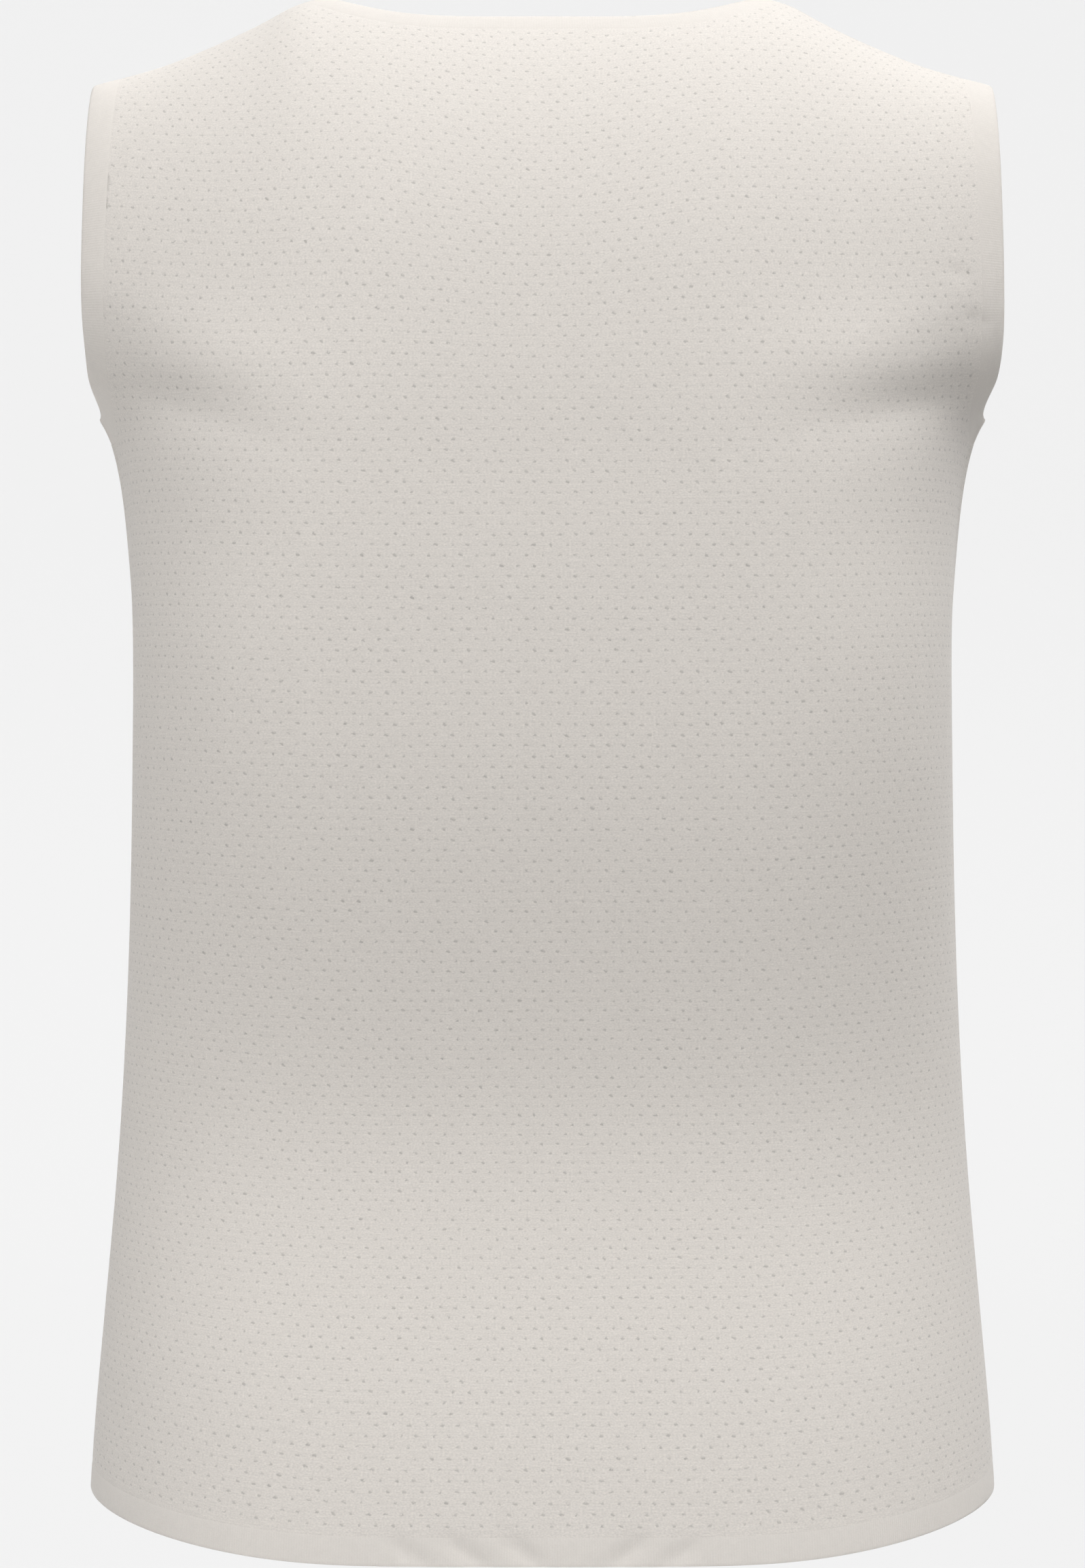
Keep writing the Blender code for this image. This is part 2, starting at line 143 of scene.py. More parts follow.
# Creases, as soft troughs: where their middle is, which way they run seen from the back
# (degrees, anticlockwise from the wearer's left), their half length, their half width above
# and below the middle, and their depth. A depth below zero is a ridge.
CREASE_COLUMNS = ("face", "x", "height", "run", "reach", "above", "below", "depth")
BACK = 1
FRONT = -1
CREASES = (
    # Under the arms, where the cloth falls in below the shoulder blades and the chest.
    (BACK, 0.1776, -0.1740, 21, 0.115, 0.0200, 0.070, 0.0100),
    (BACK, 0.1690, -0.1505, 26, 0.045, 0.0100, 0.030, 0.0009),
    (BACK, 0.1920, -0.1600, 75, 0.036, 0.0100, 0.010, -0.0032),
    (BACK, -0.1776, -0.1780, -14, 0.115, 0.0210, 0.070, 0.0120),
    (BACK, -0.1650, -0.1530, -24, 0.040, 0.0100, 0.030, 0.0010),
    (BACK, -0.1920, -0.1610, -75, 0.036, 0.0100, 0.010, -0.0034),
    (BACK, -0.1716, -0.1240, 12, 0.010, 0.0026, 0.003, 0.0005),
    (BACK, -0.1790, -0.1420, 18, 0.008, 0.0022, 0.003, 0.0006),
    (BACK, -0.1775, -0.1680, 25, 0.010, 0.0026, 0.003, 0.0005),
    (FRONT, 0.1780, -0.1750, 27, 0.095, 0.0220, 0.070, 0.0050),
    (FRONT, -0.1780, -0.1800, -18, 0.105, 0.0240, 0.075, 0.0058),
    (FRONT, 0.1920, -0.1600, 75, 0.034, 0.0100, 0.010, -0.0028),
    (FRONT, -0.1920, -0.1590, -75, 0.036, 0.0100, 0.010, -0.0029),
    (FRONT, 0.1760, -0.1450, 20, 0.009, 0.0024, 0.003, 0.0005),
    (FRONT, -0.1770, -0.1300, 14, 0.011, 0.0028, 0.003, 0.0005),
    # Round the hem, where the narrow band draws the cloth together.
    (BACK, 0.0526, -0.6365, 33, 0.014, 0.0036, 0.0036, 0.00100),
    (BACK, 0.0296, -0.6365, 34, 0.016, 0.0040, 0.0040, 0.00130),
    (BACK, 0.0072, -0.6365, 35, 0.015, 0.0038, 0.0038, 0.00120),
    (BACK, -0.0328, -0.6365, -34, 0.015, 0.0038, 0.0038, 0.00120),
    (BACK, -0.0542, -0.6368, -32, 0.014, 0.0036, 0.0036, 0.00100),
    (FRONT, 0.0480, -0.6366, 31, 0.014, 0.0037, 0.0037, 0.00075),
    (FRONT, 0.0210, -0.6364, 35, 0.015, 0.0040, 0.0040, 0.00085),
    (FRONT, -0.0120, -0.6367, -36, 0.013, 0.0036, 0.0036, 0.00070),
    (FRONT, -0.0390, -0.6365, -33, 0.016, 0.0039, 0.0039, 0.00090),
)

# The cloth stands out at the foot of each armhole: by how much, at what height, and how far
# this reaches up and down.
ARMHOLE_SWELL = (0.0067, -0.1620, 0.0185, 0.0125)

# Cross-sections of a binding and of the hem band: share of the width from the seam, height
# over the skin as a share of half the thickness, and how strongly the ribs show there.
EDGE_COLUMNS = ("reach", "height", "rib")
BINDING_SECTION = (
    (0.00, 0.60, 0.0),
    (0.07, 0.72, 0.8),
    (0.30, 0.82, 1.0),
    (0.60, 0.88, 1.0),
    (0.88, 0.80, 1.0),
    (0.975, 0.45, 0.8),
    (1.00, 0.00, 0.6),
    (0.975, -0.45, 0.5),
    (0.88, -0.85, 0.5),
    (0.50, -1.00, 0.5),
    (0.00, -0.45, 0.0),
)
HEM_SECTION = (
    (0.00, 0.72, 0.0),
    (0.08, 0.78, 0.8),
    (0.18, 0.84, 1.0),
    (0.28, 0.86, 1.0),
    (0.38, 0.88, 1.0),
    (0.48, 0.90, 1.0),
    (0.58, 0.90, 1.0),
    (0.68, 0.90, 1.0),
    (0.78, 0.88, 1.0),
    (0.90, 0.87, 1.0),
    (0.970, 0.84, 0.9),
    (0.995, 0.70, 0.8),
    (1.00, 0.35, 0.6),
    (0.99, -0.50, 0.5),
    (0.80, -0.90, 0.5),
    (0.40, -0.95, 0.5),
    (0.00, -0.45, 0.0),
)

# The painted shade in an eyelet's pit, a dark drop, in millimetres: half its width, and how far
# it reaches up and down. Its edge is soft between these two shares of its size, squared.
EYELET_CORE = (0.95, 0.75, 0.50)
EYELET_EDGE = (1.0, 0.02)
# Its frayed tail of painted shade up the pit's upper side: how dark it is beside the drop, half
# its width in millimetres at its foot and how much it widens, fades and swerves for each
# millimetre up.
EYELET_TAIL = 0.60
EYELET_TAIL_FOOT = 0.30
EYELET_TAIL_SPREAD = 0.75
EYELET_TAIL_FADE = 0.72
EYELET_TAIL_SWERVE = 0.25
# How far the yarn's uneven tone moves the drop, in millimetres across and up.
EYELET_FRAY = (3.2, 1.6)
# The edge of an eyelet's pit, as shares of its width and height from its deepest point.
EYELET_RING = ((0.5, 0.0), (0.0, 0.62), (-0.5, 0.0), (0.0, -0.38))

# Half the width and height of the painted shade of an eyelet on the inside.
INSIDE_EYELET_SHADE = (0.0010, 0.0008)

# How uneven the knit is: how far eyelets stray, as shares of a column and a course, how their
# strength varies and between what it is held, how far they lean (radians), and the surface.
EYELET_STRAY = (0.030, 0.035)
STRENGTH_SPREAD = 0.13
STRENGTH_RANGE = (0.65, 1.35)
LEAN_SPREAD = 0.22
SURFACE_SPREAD = 0.00003
# How far the knit stands up round an eyelet, as a share of the eyelet's depth.
RING_RISE = 0.10
# Spacing of the points on a panel's outline and inside it, and how far from the outline the
# eyelets, the points between them and the inside's points stay.
OUTLINE_SPACING = 0.0025
INSIDE_SPACING = 0.008
INSIDE_OFFSET = (0.0003, 0.0002)
EYELET_CLEARANCE = 0.0017
KNIT_CLEARANCE = 0.0012
INSIDE_CLEARANCE = 0.0035
HALF_COLUMNS = 60

# The ribs: how far each strays, as a share of the pitch, and how strong they are.
COLUMNS_PER_RIB = 4
RIB_STRAY = 0.07
RIB_STRENGTH = (0.75, 1.15)
RAIL_SPACING = 0.0015

# The yarn: its stitches' width and height, and the size of its flecks.
YARN_SIZES = ("Stitch Width", "Stitch Height", "Fleck Size")
KNIT_YARN = (0.00085, 0.00056, 0.0012)
RIB_YARN = (0.0006, 0.0006, 0.0025)
# Streaks along the courses: their size as shares of a stitch, and how strong they are.
STREAK_SCALE = (0.10, 0.9, 0.10)
STREAK_STRENGTH = 0.30

# The stage: its round floor's radius, the bend up into the backdrop and the backdrop's height.
SWEEP_RADIUS = 2.4
SWEEP_BEND = 0.9
SWEEP_HEIGHT = 3.2
SWEEP_SIDES = 96
# The lights: degrees round from the camera and up, and the setting of their strength.
LIGHTS = (
    ("overhead_light", -12.0, 54.5, "overhead"),
    ("right_rim_light", -125.0, 45.0, "rim"),
)
LIGHT_SOFTNESS = math.radians(50.0)
LIGHT_DISTANCE = 3.0
CAMERA_HEIGHT = -0.334
SENSOR_WIDTH = 36.0

FLOAT = "NodeSocketFloat"
VECTOR = "NodeSocketVector"
MILLIMETRES = 1000.0
QUARTER_TURN = math.pi / 2
TANGENT_STEP = 0.0005
WALK_STEPS = 4
# How the points on an armhole crowd at its foot, and a station past every panel's top.
ARMHOLE_EASE = 1.3
YOKE_END = 2.6


def column(table, names, name):
    """One named column of a table, as an array."""
    return np.array([row[names.index(name)] for row in table])


def spline(xs, ys):
    """Natural cubic spline through (xs, ys): a function of x, which is held to their range."""
    count = len(xs)
    step = np.diff(xs)
    slope = np.diff(ys) / step
    rows = np.eye(count)
    bends = np.zeros(count)
    for i in range(1, count - 1):
        rows[i, i - 1 : i + 2] = step[i - 1], 2 * (step[i - 1] + step[i]), step[i]
        bends[i] = 6 * (slope[i] - slope[i - 1])
    bend = np.linalg.solve(rows, bends)

    def read(x):
        x = np.clip(np.asarray(x, float), xs[0], xs[-1])
        i = np.clip(np.searchsorted(xs, x) - 1, 0, count - 2)
        into = x - xs[i]
        left = xs[i + 1] - x
        return (
            ys[i] * left / step[i]
            + ys[i + 1] * into / step[i]
            + bend[i] * (left**3 / step[i] - left * step[i]) / 6
            + bend[i + 1] * (into**3 / step[i] - into * step[i]) / 6
        )

    return read


SECTION_HEIGHTS = column(SECTIONS, SECTION_COLUMNS, "height")
CROWN_HEIGHT = SECTION_HEIGHTS[-1]
SECTION = {
    name: spline(SECTION_HEIGHTS, column(SECTIONS, SECTION_COLUMNS, name))
    for name in SECTION_COLUMNS[1:]
}
SHOULDER_HEIGHT = spline(
    column(SHOULDER_LINE, SHOULDER_LINE_COLUMNS, "half_width"),
    column(SHOULDER_LINE, SHOULDER_LINE_COLUMNS, "height"),
)
PITCH = {
    name: spline(
        column(PITCHES, PITCH_COLUMNS, "height"),
        column(PITCHES, PITCH_COLUMNS, name),
    )
    for name in PITCH_COLUMNS[1:]
}
HEM_SEAM = HEM_BAND_WIDTH / (UNDERARM_HEIGHT - HEM_HEIGHT)


def turn_length(x, flat):
    """How far x has come into the round side of a section, past its flat middle."""
    past = x - flat
    return (np.sqrt(past**2 + TURN_SOFTNESS**2) + past) / 2


def section_height(station):
    """Height of a level section, before it climbs to the side, at a station up to 2."""
    roll = np.clip(station - 1, 0, 1) * QUARTER_TURN
    body_height = HEM_HEIGHT + (UNDERARM_HEIGHT - HEM_HEIGHT) * np.minimum(station, 1)
    return body_height + (CROWN_HEIGHT - UNDERARM_HEIGHT) * np.sin(roll)


def section_turn(height, back):
    """Flat half-width of a section's face, and where its round side starts and how far it goes."""
    flat = np.where(back, SECTION["back_flat"](height), SECTION["front_flat"](height))
    start = turn_length(0.0, flat)
    return flat, start, turn_length(SECTION["half_width"](height), flat) - start


def skin(station, angle):
    """Points of the skin.

    station runs from 0 at the hem to 1 at the underarm and to 2 on the shoulder line. angle
    runs from 0 at the centre back to half a turn at the centre front. Past station 2 the skin
    goes on down the other face.
    """
    station, angle = np.broadcast_arrays(np.asarray(station, float), np.asarray(angle, float))
    over = station > 2
    station = np.where(over, 4 - station, station)
    angle = np.where(over, math.pi - angle, angle)
    back = angle <= QUARTER_TURN
    roll = np.clip(station - 1, 0, 1) * QUARTER_TURN
    height = section_height(station)
    depth = np.where(back, SECTION["back_depth"](height), SECTION["front_depth"](height))
    flat, start, span = section_turn(height, back)
    slant = SECTION["slant"](height)
    across = np.sin(angle)
    turned = start + across * span
    x = flat + turned - TURN_SOFTNESS**2 / (4 * turned)
    straight = across * np.abs(across) * (1 + SLANT_SOFTNESS) / (np.abs(across) + SLANT_SOFTNESS)
    y = depth * (np.cos(angle) * (1 - slant) + np.where(back, 1, -1) * slant * (1 - straight))
    z = height + np.sin(roll) ** 2 * (SHOULDER_HEIGHT(x) - CROWN_HEIGHT)
    z = z + SECTION["side_rise"](height) * np.abs(across) ** RISE_POWER
    return np.stack([x, y * np.cos(roll), z], -1)


def slopes(station, angle):
    """The skin's two tangents: along the station and along the angle."""
    up = skin(station + TANGENT_STEP, angle) - skin(station - TANGENT_STEP, angle)
    around = skin(station, angle + TANGENT_STEP) - skin(station, angle - TANGENT_STEP)
    return up / (2 * TANGENT_STEP), around / (2 * TANGENT_STEP)


def unit(vector):
    """Vectors at length one."""
    return vector / np.linalg.norm(vector, axis=-1, keepdims=True)


def normal(station, angle):
    """The skin's outward normal on the +X half."""
    up, around = slopes(station, angle)
    return unit(np.cross(up, around))


def walk(station, angle, direction, distance):
    """The stations and angles that lie a distance away on the skin, in a direction."""
    for _ in range(WALK_STEPS):
        up, around = slopes(station, angle)
        uu, ua, aa = (up * up).sum(-1), (up * around).sum(-1), (around * around).sum(-1)
        share = uu * aa - ua * ua
        along_up, along_around = (up * direction).sum(-1), (around * direction).sum(-1)
        move_up = (aa * along_up - ua * along_around) / share
        move_around = (uu * along_around - ua * along_up) / share
        flat = move_up[:, None] * up + move_around[:, None] * around
        scale = distance / WALK_STEPS / np.linalg.norm(flat, axis=-1)
        station = station + move_up * scale
        angle = angle + move_around * scale
    return station, angle


def mirrored(points):
    """Points with their X turned round."""
    return points * np.array([-1.0, 1.0, 1.0])


def edge_half_width(station):
    """How far from the middle a panel ends: at its side seam, or above it at its armhole."""
    own = np.where(station > 2, 4 - station, station)
    spread = (1 - np.sin(np.clip(own - 1, 0, 1) * QUARTER_TURN)) ** ARMHOLE_SPREAD
    armhole = SHOULDER_HALF_WIDTH + (UNDERARM_HALF_WIDTH - SHOULDER_HALF_WIDTH) * spread
    return np.where(own <= 1, SECTION["half_width"](section_height(own)), armhole)


def angle_of(face, station, x):
    """The angle at which a level section is x from the middle, on a face."""
    over = station > 2
    height = section_height(np.where(over, 4 - station, station))
    flat, start, span = section_turn(height, np.where(over, face == FRONT, face == BACK))
    across = np.clip((turn_length(x, flat) - start) / span, 0, 1)
    angle = np.arcsin(across)
    return angle if face == BACK else math.pi - angle


def neck_curve(face, turns):
    """Half-width and station of the neck seam, at angles from the centre of a face."""
    reach, square = {
        BACK: (NECK_BACK_REACH, NECK_BACK_SQUARENESS),
        FRONT: (NECK_FRONT_REACH, NECK_FRONT_SQUARENESS),
    }[face]
    half_width = NECK_HALF_WIDTH * np.sin(turns) ** (2 / square)
    return half_width, 2 - reach * np.cos(turns) / QUARTER_TURN


def shoulder_point():
    """The turn of the front neck curve where the shoulder seam meets it."""
    return math.acos(SHOULDER_SEAM_REACH / NECK_FRONT_REACH)


def panel_top(face):
    """Station of a panel's shoulder seam."""
    return 2 + face * SHOULDER_SEAM_REACH / QUARTER_TURN


def neck_seam(face):
    """Half-widths and stations of a panel's neck seam, from its shoulder to its centre."""
    if face == FRONT:
        return neck_curve(FRONT, np.linspace(shoulder_point(), 0, 400))
    over = neck_curve(FRONT, np.linspace(shoulder_point(), QUARTER_TURN, 40))
    down = neck_curve(BACK, np.linspace(QUARTER_TURN, 0, 400))
    return np.concatenate([over[0], down[0][1:]]), np.concatenate([4 - over[1], down[1][1:]])


def lengths_along(points):
    """Lengths along a line of points, from its first one."""
    return np.concatenate([[0], np.cumsum(np.linalg.norm(np.diff(points, axis=0), axis=1))])


def at_spacing(curve, points, spacing):
    """A curve's rows taken at even distances along its points, without the last one."""
    lengths = lengths_along(points)
    count = max(2, round(lengths[-1] / spacing))
    even = np.linspace(0, lengths[-1], count + 1)[:-1]
    return np.stack([np.interp(even, lengths, row) for row in curve.T], -1)


def panel_outline(face, spacing):
    """Stations and half-widths round the +X half of a panel, from its bottom centre."""
    turns = np.linspace(0, QUARTER_TURN, 400)
    bottom = np.full(400, HEM_SEAM)
    side = np.linspace(HEM_SEAM, 1, 400)
    armhole = 1 + (panel_top(face) - 1) * np.linspace(0, 1, 400) ** ARMHOLE_EASE
    neck_x, neck_station = neck_seam(face)
    shoulder_x = np.linspace(edge_half_width(panel_top(face)), neck_x[0], 200)
    runs = (
        (bottom, edge_half_width(bottom) * np.sin(turns)),
        (side, edge_half_width(side)),
        (armhole, edge_half_width(armhole)),
        (np.full(200, panel_top(face)), shoulder_x),
        (neck_station, neck_x),
    )
    outline = []
    for station, x in runs:
        points = skin(station, angle_of(face, station, x))
        outline.append(at_spacing(np.stack([station, x], -1), points, spacing))
    outline.append([[neck_station[-1], 0.0]])
    return np.concatenate(outline)


def smooth(x):
    """Smooth step from 0 to 1."""
    x = np.clip(x, 0, 1)
    return x * x * (3 - 2 * x)


def bilinear(table, row, column_place):
    """A table read between its rows and columns."""
    row = np.clip(row, 0, table.shape[0] - 1.001)
    column_place = np.clip(column_place, 0, table.shape[1] - 1.001)
    i, j = row.astype(int), column_place.astype(int)
    a, b = row - i, column_place - j
    low = table[i, j] * (1 - b) + table[i, j + 1] * b
    high = table[i + 1, j] * (1 - b) + table[i + 1, j + 1] * b
    return low * (1 - a) + high * a


class Knit:
    """The knit of a panel: its courses up and its columns across, laid over the skin."""

    TURNS = 91
    SHARES = 81
    ROWS_PER_COURSE = 2

    def __init__(self, face):
        self.face = face
        body = np.linspace(HEM_SEAM, 1, 201)
        yoke = np.linspace(1, YOKE_END, 401)[1:]
        self.stations = np.concatenate([body, yoke])
        self.turns = np.linspace(0, QUARTER_TURN, self.TURNS)
        station, turn = np.meshgrid(self.stations, self.turns, indexing="ij")
        x = edge_half_width(station) * np.sin(turn)
        points = skin(station, angle_of(face, station, x))
        outward = normal(station, angle_of(face, station, x))
        outward = unit(outward[1:] + outward[:-1])
        up = unit(np.diff(points[:, :1], axis=0))
        wale = unit(up - (up * outward).sum(-1, keepdims=True) * outward)
        steps = (np.diff(points, axis=0) * wale).sum(-1)
        length = np.concatenate([np.zeros((1, self.TURNS)), np.cumsum(steps, axis=0)])
        centre = length[:, 0]
        centre_height = points[:, 0, 2]
        pitch = PITCH["up"](centre_height)
        count = np.concatenate(
            [[0], np.cumsum(np.diff(centre) * 2 / (pitch[1:] + pitch[:-1]))]
        )
        underarm = len(body) - 1
        above = length - length[underarm]
        lift = YOKE_LIFT * smooth(x / YOKE_LIFT_HALF_WIDTH) * smooth(above / YOKE_LIFT_REACH)
        lifted = centre[underarm] + above - lift
        lifted[: underarm + 1] = centre[: underarm + 1, None]
        reach = np.append(centre, centre[-1] + 1)
        counts = np.append(count, count[-1] + 1 / pitch[-1])
        self.course = np.interp(lifted, reach, counts)
        self.top = float(self.course[:, 0].max())
        rows = np.arange(0, int(self.top * self.ROWS_PER_COURSE)) / self.ROWS_PER_COURSE
        at_row = np.stack(
            [np.interp(rows, self.course[:, j], self.stations) for j in range(self.TURNS)], -1
        )
        row_x = edge_half_width(at_row) * np.sin(self.turns)
        row_points = skin(at_row, angle_of(face, at_row, row_x))
        steps = np.linalg.norm(np.diff(row_points, axis=1), axis=-1)
        self.along = np.concatenate([np.zeros((len(rows), 1)), np.cumsum(steps, axis=1)], 1)
        self.rows = rows
        self.total = self.along[:, -1]
        self.pitch = PITCH["across"](np.interp(rows, count, centre_height))
        shares = np.linspace(0, 1, self.SHARES)
        self.turn_table = np.array(
            [np.interp(shares * along[-1], along, self.turns) for along in self.along]
        )
        self.station_table = np.array(
            [np.interp(turns, self.turns, row) for turns, row in zip(self.turn_table, at_row)]
        )

    def places(self, columns, courses):
        """Station and angle of columns and courses on the +X half."""
        total = np.interp(courses, self.rows, self.total)
        pitch = np.interp(courses, self.rows, self.pitch)
        share = np.clip(np.abs(columns) * pitch / total, 0, 1) * (self.SHARES - 1)
        row = courses * self.ROWS_PER_COURSE
        station = bilinear(self.station_table, row, share)
        turn = bilinear(self.turn_table, row, share)
        x = edge_half_width(station) * np.sin(turn)
        return station, angle_of(self.face, station, x)

    def columns_and_courses(self, station, x):
        """Where places given by station and half-width lie in the knit."""
        turn = np.arcsin(np.clip(x / edge_half_width(station), 0, 1))
        row = np.interp(station, self.stations, np.arange(len(self.stations)))
        place = turn / QUARTER_TURN * (self.TURNS - 1)
        course = bilinear(self.course, row, place)
        along = bilinear(self.along, course * self.ROWS_PER_COURSE, place)
        return along / np.interp(course, self.rows, self.pitch), course


def inside_outline(points, outline):
    """Whether points of the knit's plane lie inside a closed outline."""
    inside = np.zeros(len(points), bool)
    ends = np.roll(outline, -1, axis=0)
    for (x0, y0), (x1, y1) in zip(outline, ends):
        if y0 == y1:
            continue
        beside = (points[:, 1] < max(y0, y1)) & (points[:, 1] >= min(y0, y1))
        edge_x = x0 + (points[:, 1] - y0) * (x1 - x0) / (y1 - y0)
        inside ^= beside & (points[:, 0] < edge_x)
    return inside


def clearance(points, outline):
    """Distance of points of the knit's plane from a closed outline."""
    ends = np.roll(outline, -1, axis=0)
    dense = np.concatenate([outline + (ends - outline) * t for t in (0.0, 0.25, 0.5, 0.75)])
    tree = kdtree.KDTree(len(dense))
    for i, (x, y) in enumerate(dense.tolist()):
        tree.insert((x, y, 0.0), i)
    tree.balance()
    return np.array([tree.find((x, y, 0.0))[2] for x, y in points.tolist()])


def triangles_within(outline, points):
    """Triangles over an outline and the points inside it, which come after the outline's."""
    every = [Vector(p) for p in np.concatenate([outline, points]).tolist()]
    border = [list(range(len(outline)))]
    made = delaunay_2d_cdt(every, [], border, 1, 1e-6, True)
    if len(made[0]) != len(every):
        raise RuntimeError("a panel's outline crosses itself")
    own = np.array([ids[0] for ids in made[3]])
    triangles = own[np.array(made[2])]
    middles = np.concatenate([outline, points])[triangles].mean(1)
    beside = (triangles < len(outline)).all(1)
    beside[beside] = ~inside_outline(middles[beside], outline)
    return triangles[~beside]


def armhole_swell(points, outward):
    """How far points stand out at the foot of each armhole, round the garment's sides."""
    size, height, above, below = ARMHOLE_SWELL
    over = points[:, 2] - height
    over = over / np.where(over > 0, above, below)
    return size * np.exp(-(over**2)) * (1 - np.abs(outward[:, 1]))


def crease_depth(points, outward, face):
    """How far the cloth lies in from the skin. The creases leave the outline alone."""
    depth = np.zeros(len(points))
    for row in CREASES:
        crease = dict(zip(CREASE_COLUMNS, row))
        if crease["face"] != face:
            continue
        run = math.radians(crease["run"])
        dx = points[:, 0] - crease["x"]
        dz = points[:, 2] - crease["height"]
        along = (dx * math.cos(run) + dz * math.sin(run)) / crease["reach"]
        aside = dz * math.cos(run) - dx * math.sin(run)
        aside = aside / np.where(aside > 0, crease["above"], crease["below"])
        taper = np.clip(1 - along**2, 0, 1) ** 2
        depth += crease["depth"] * taper * np.exp(-(aside**2))
    return depth * np.sqrt(np.abs(outward[:, 1])) - armhole_swell(points, outward)


def cloth_mesh(name, points, faces):
    """A cloth piece with smooth faces, turned outwards."""
    mesh = bpy.data.meshes.new(name)
    mesh.from_pydata(points.tolist(), [], faces)
    mesh.update()
    corners = points[[face[0] for face in faces]]
    a, b = (points[[face[i] for face in faces]] for i in (1, 2))
    volume = np.einsum("ij,ij->i", corners, np.cross(a, b)).sum()
    if volume < 0:
        mesh.flip_normals()
    mesh.shade_smooth()
    mesh.set_sharp_from_angle(angle=math.radians(60))
    piece = bpy.data.objects.new(name, mesh)
    bpy.context.collection.objects.link(piece)
    return piece


def point_values(piece, name, values):
    """Keeps one number for each point of a piece, for its material."""
    kind = "FLOAT" if values.ndim == 1 else "FLOAT_VECTOR"
    attribute = piece.data.attributes.new(name, kind, "POINT")
    attribute.data.foreach_set("value" if values.ndim == 1 else "vector", values.ravel())


def lattice(first, top):
    """Columns and courses of the eyelets. Every other course is set off by half a column."""
    course, place = np.meshgrid(
        np.arange(first, int(top)), np.arange(-HALF_COLUMNS, HALF_COLUMNS + 1), indexing="ij"
    )
    return np.stack([place + 0.5 * (course % 2), course], -1).reshape(-1, 2).astype(float)


def kept_inside(points, outline, distance):
    """The points that lie inside an outline and this far from it."""
    points = points[inside_outline(points, outline)]
    return points[clearance(points, outline) > distance]


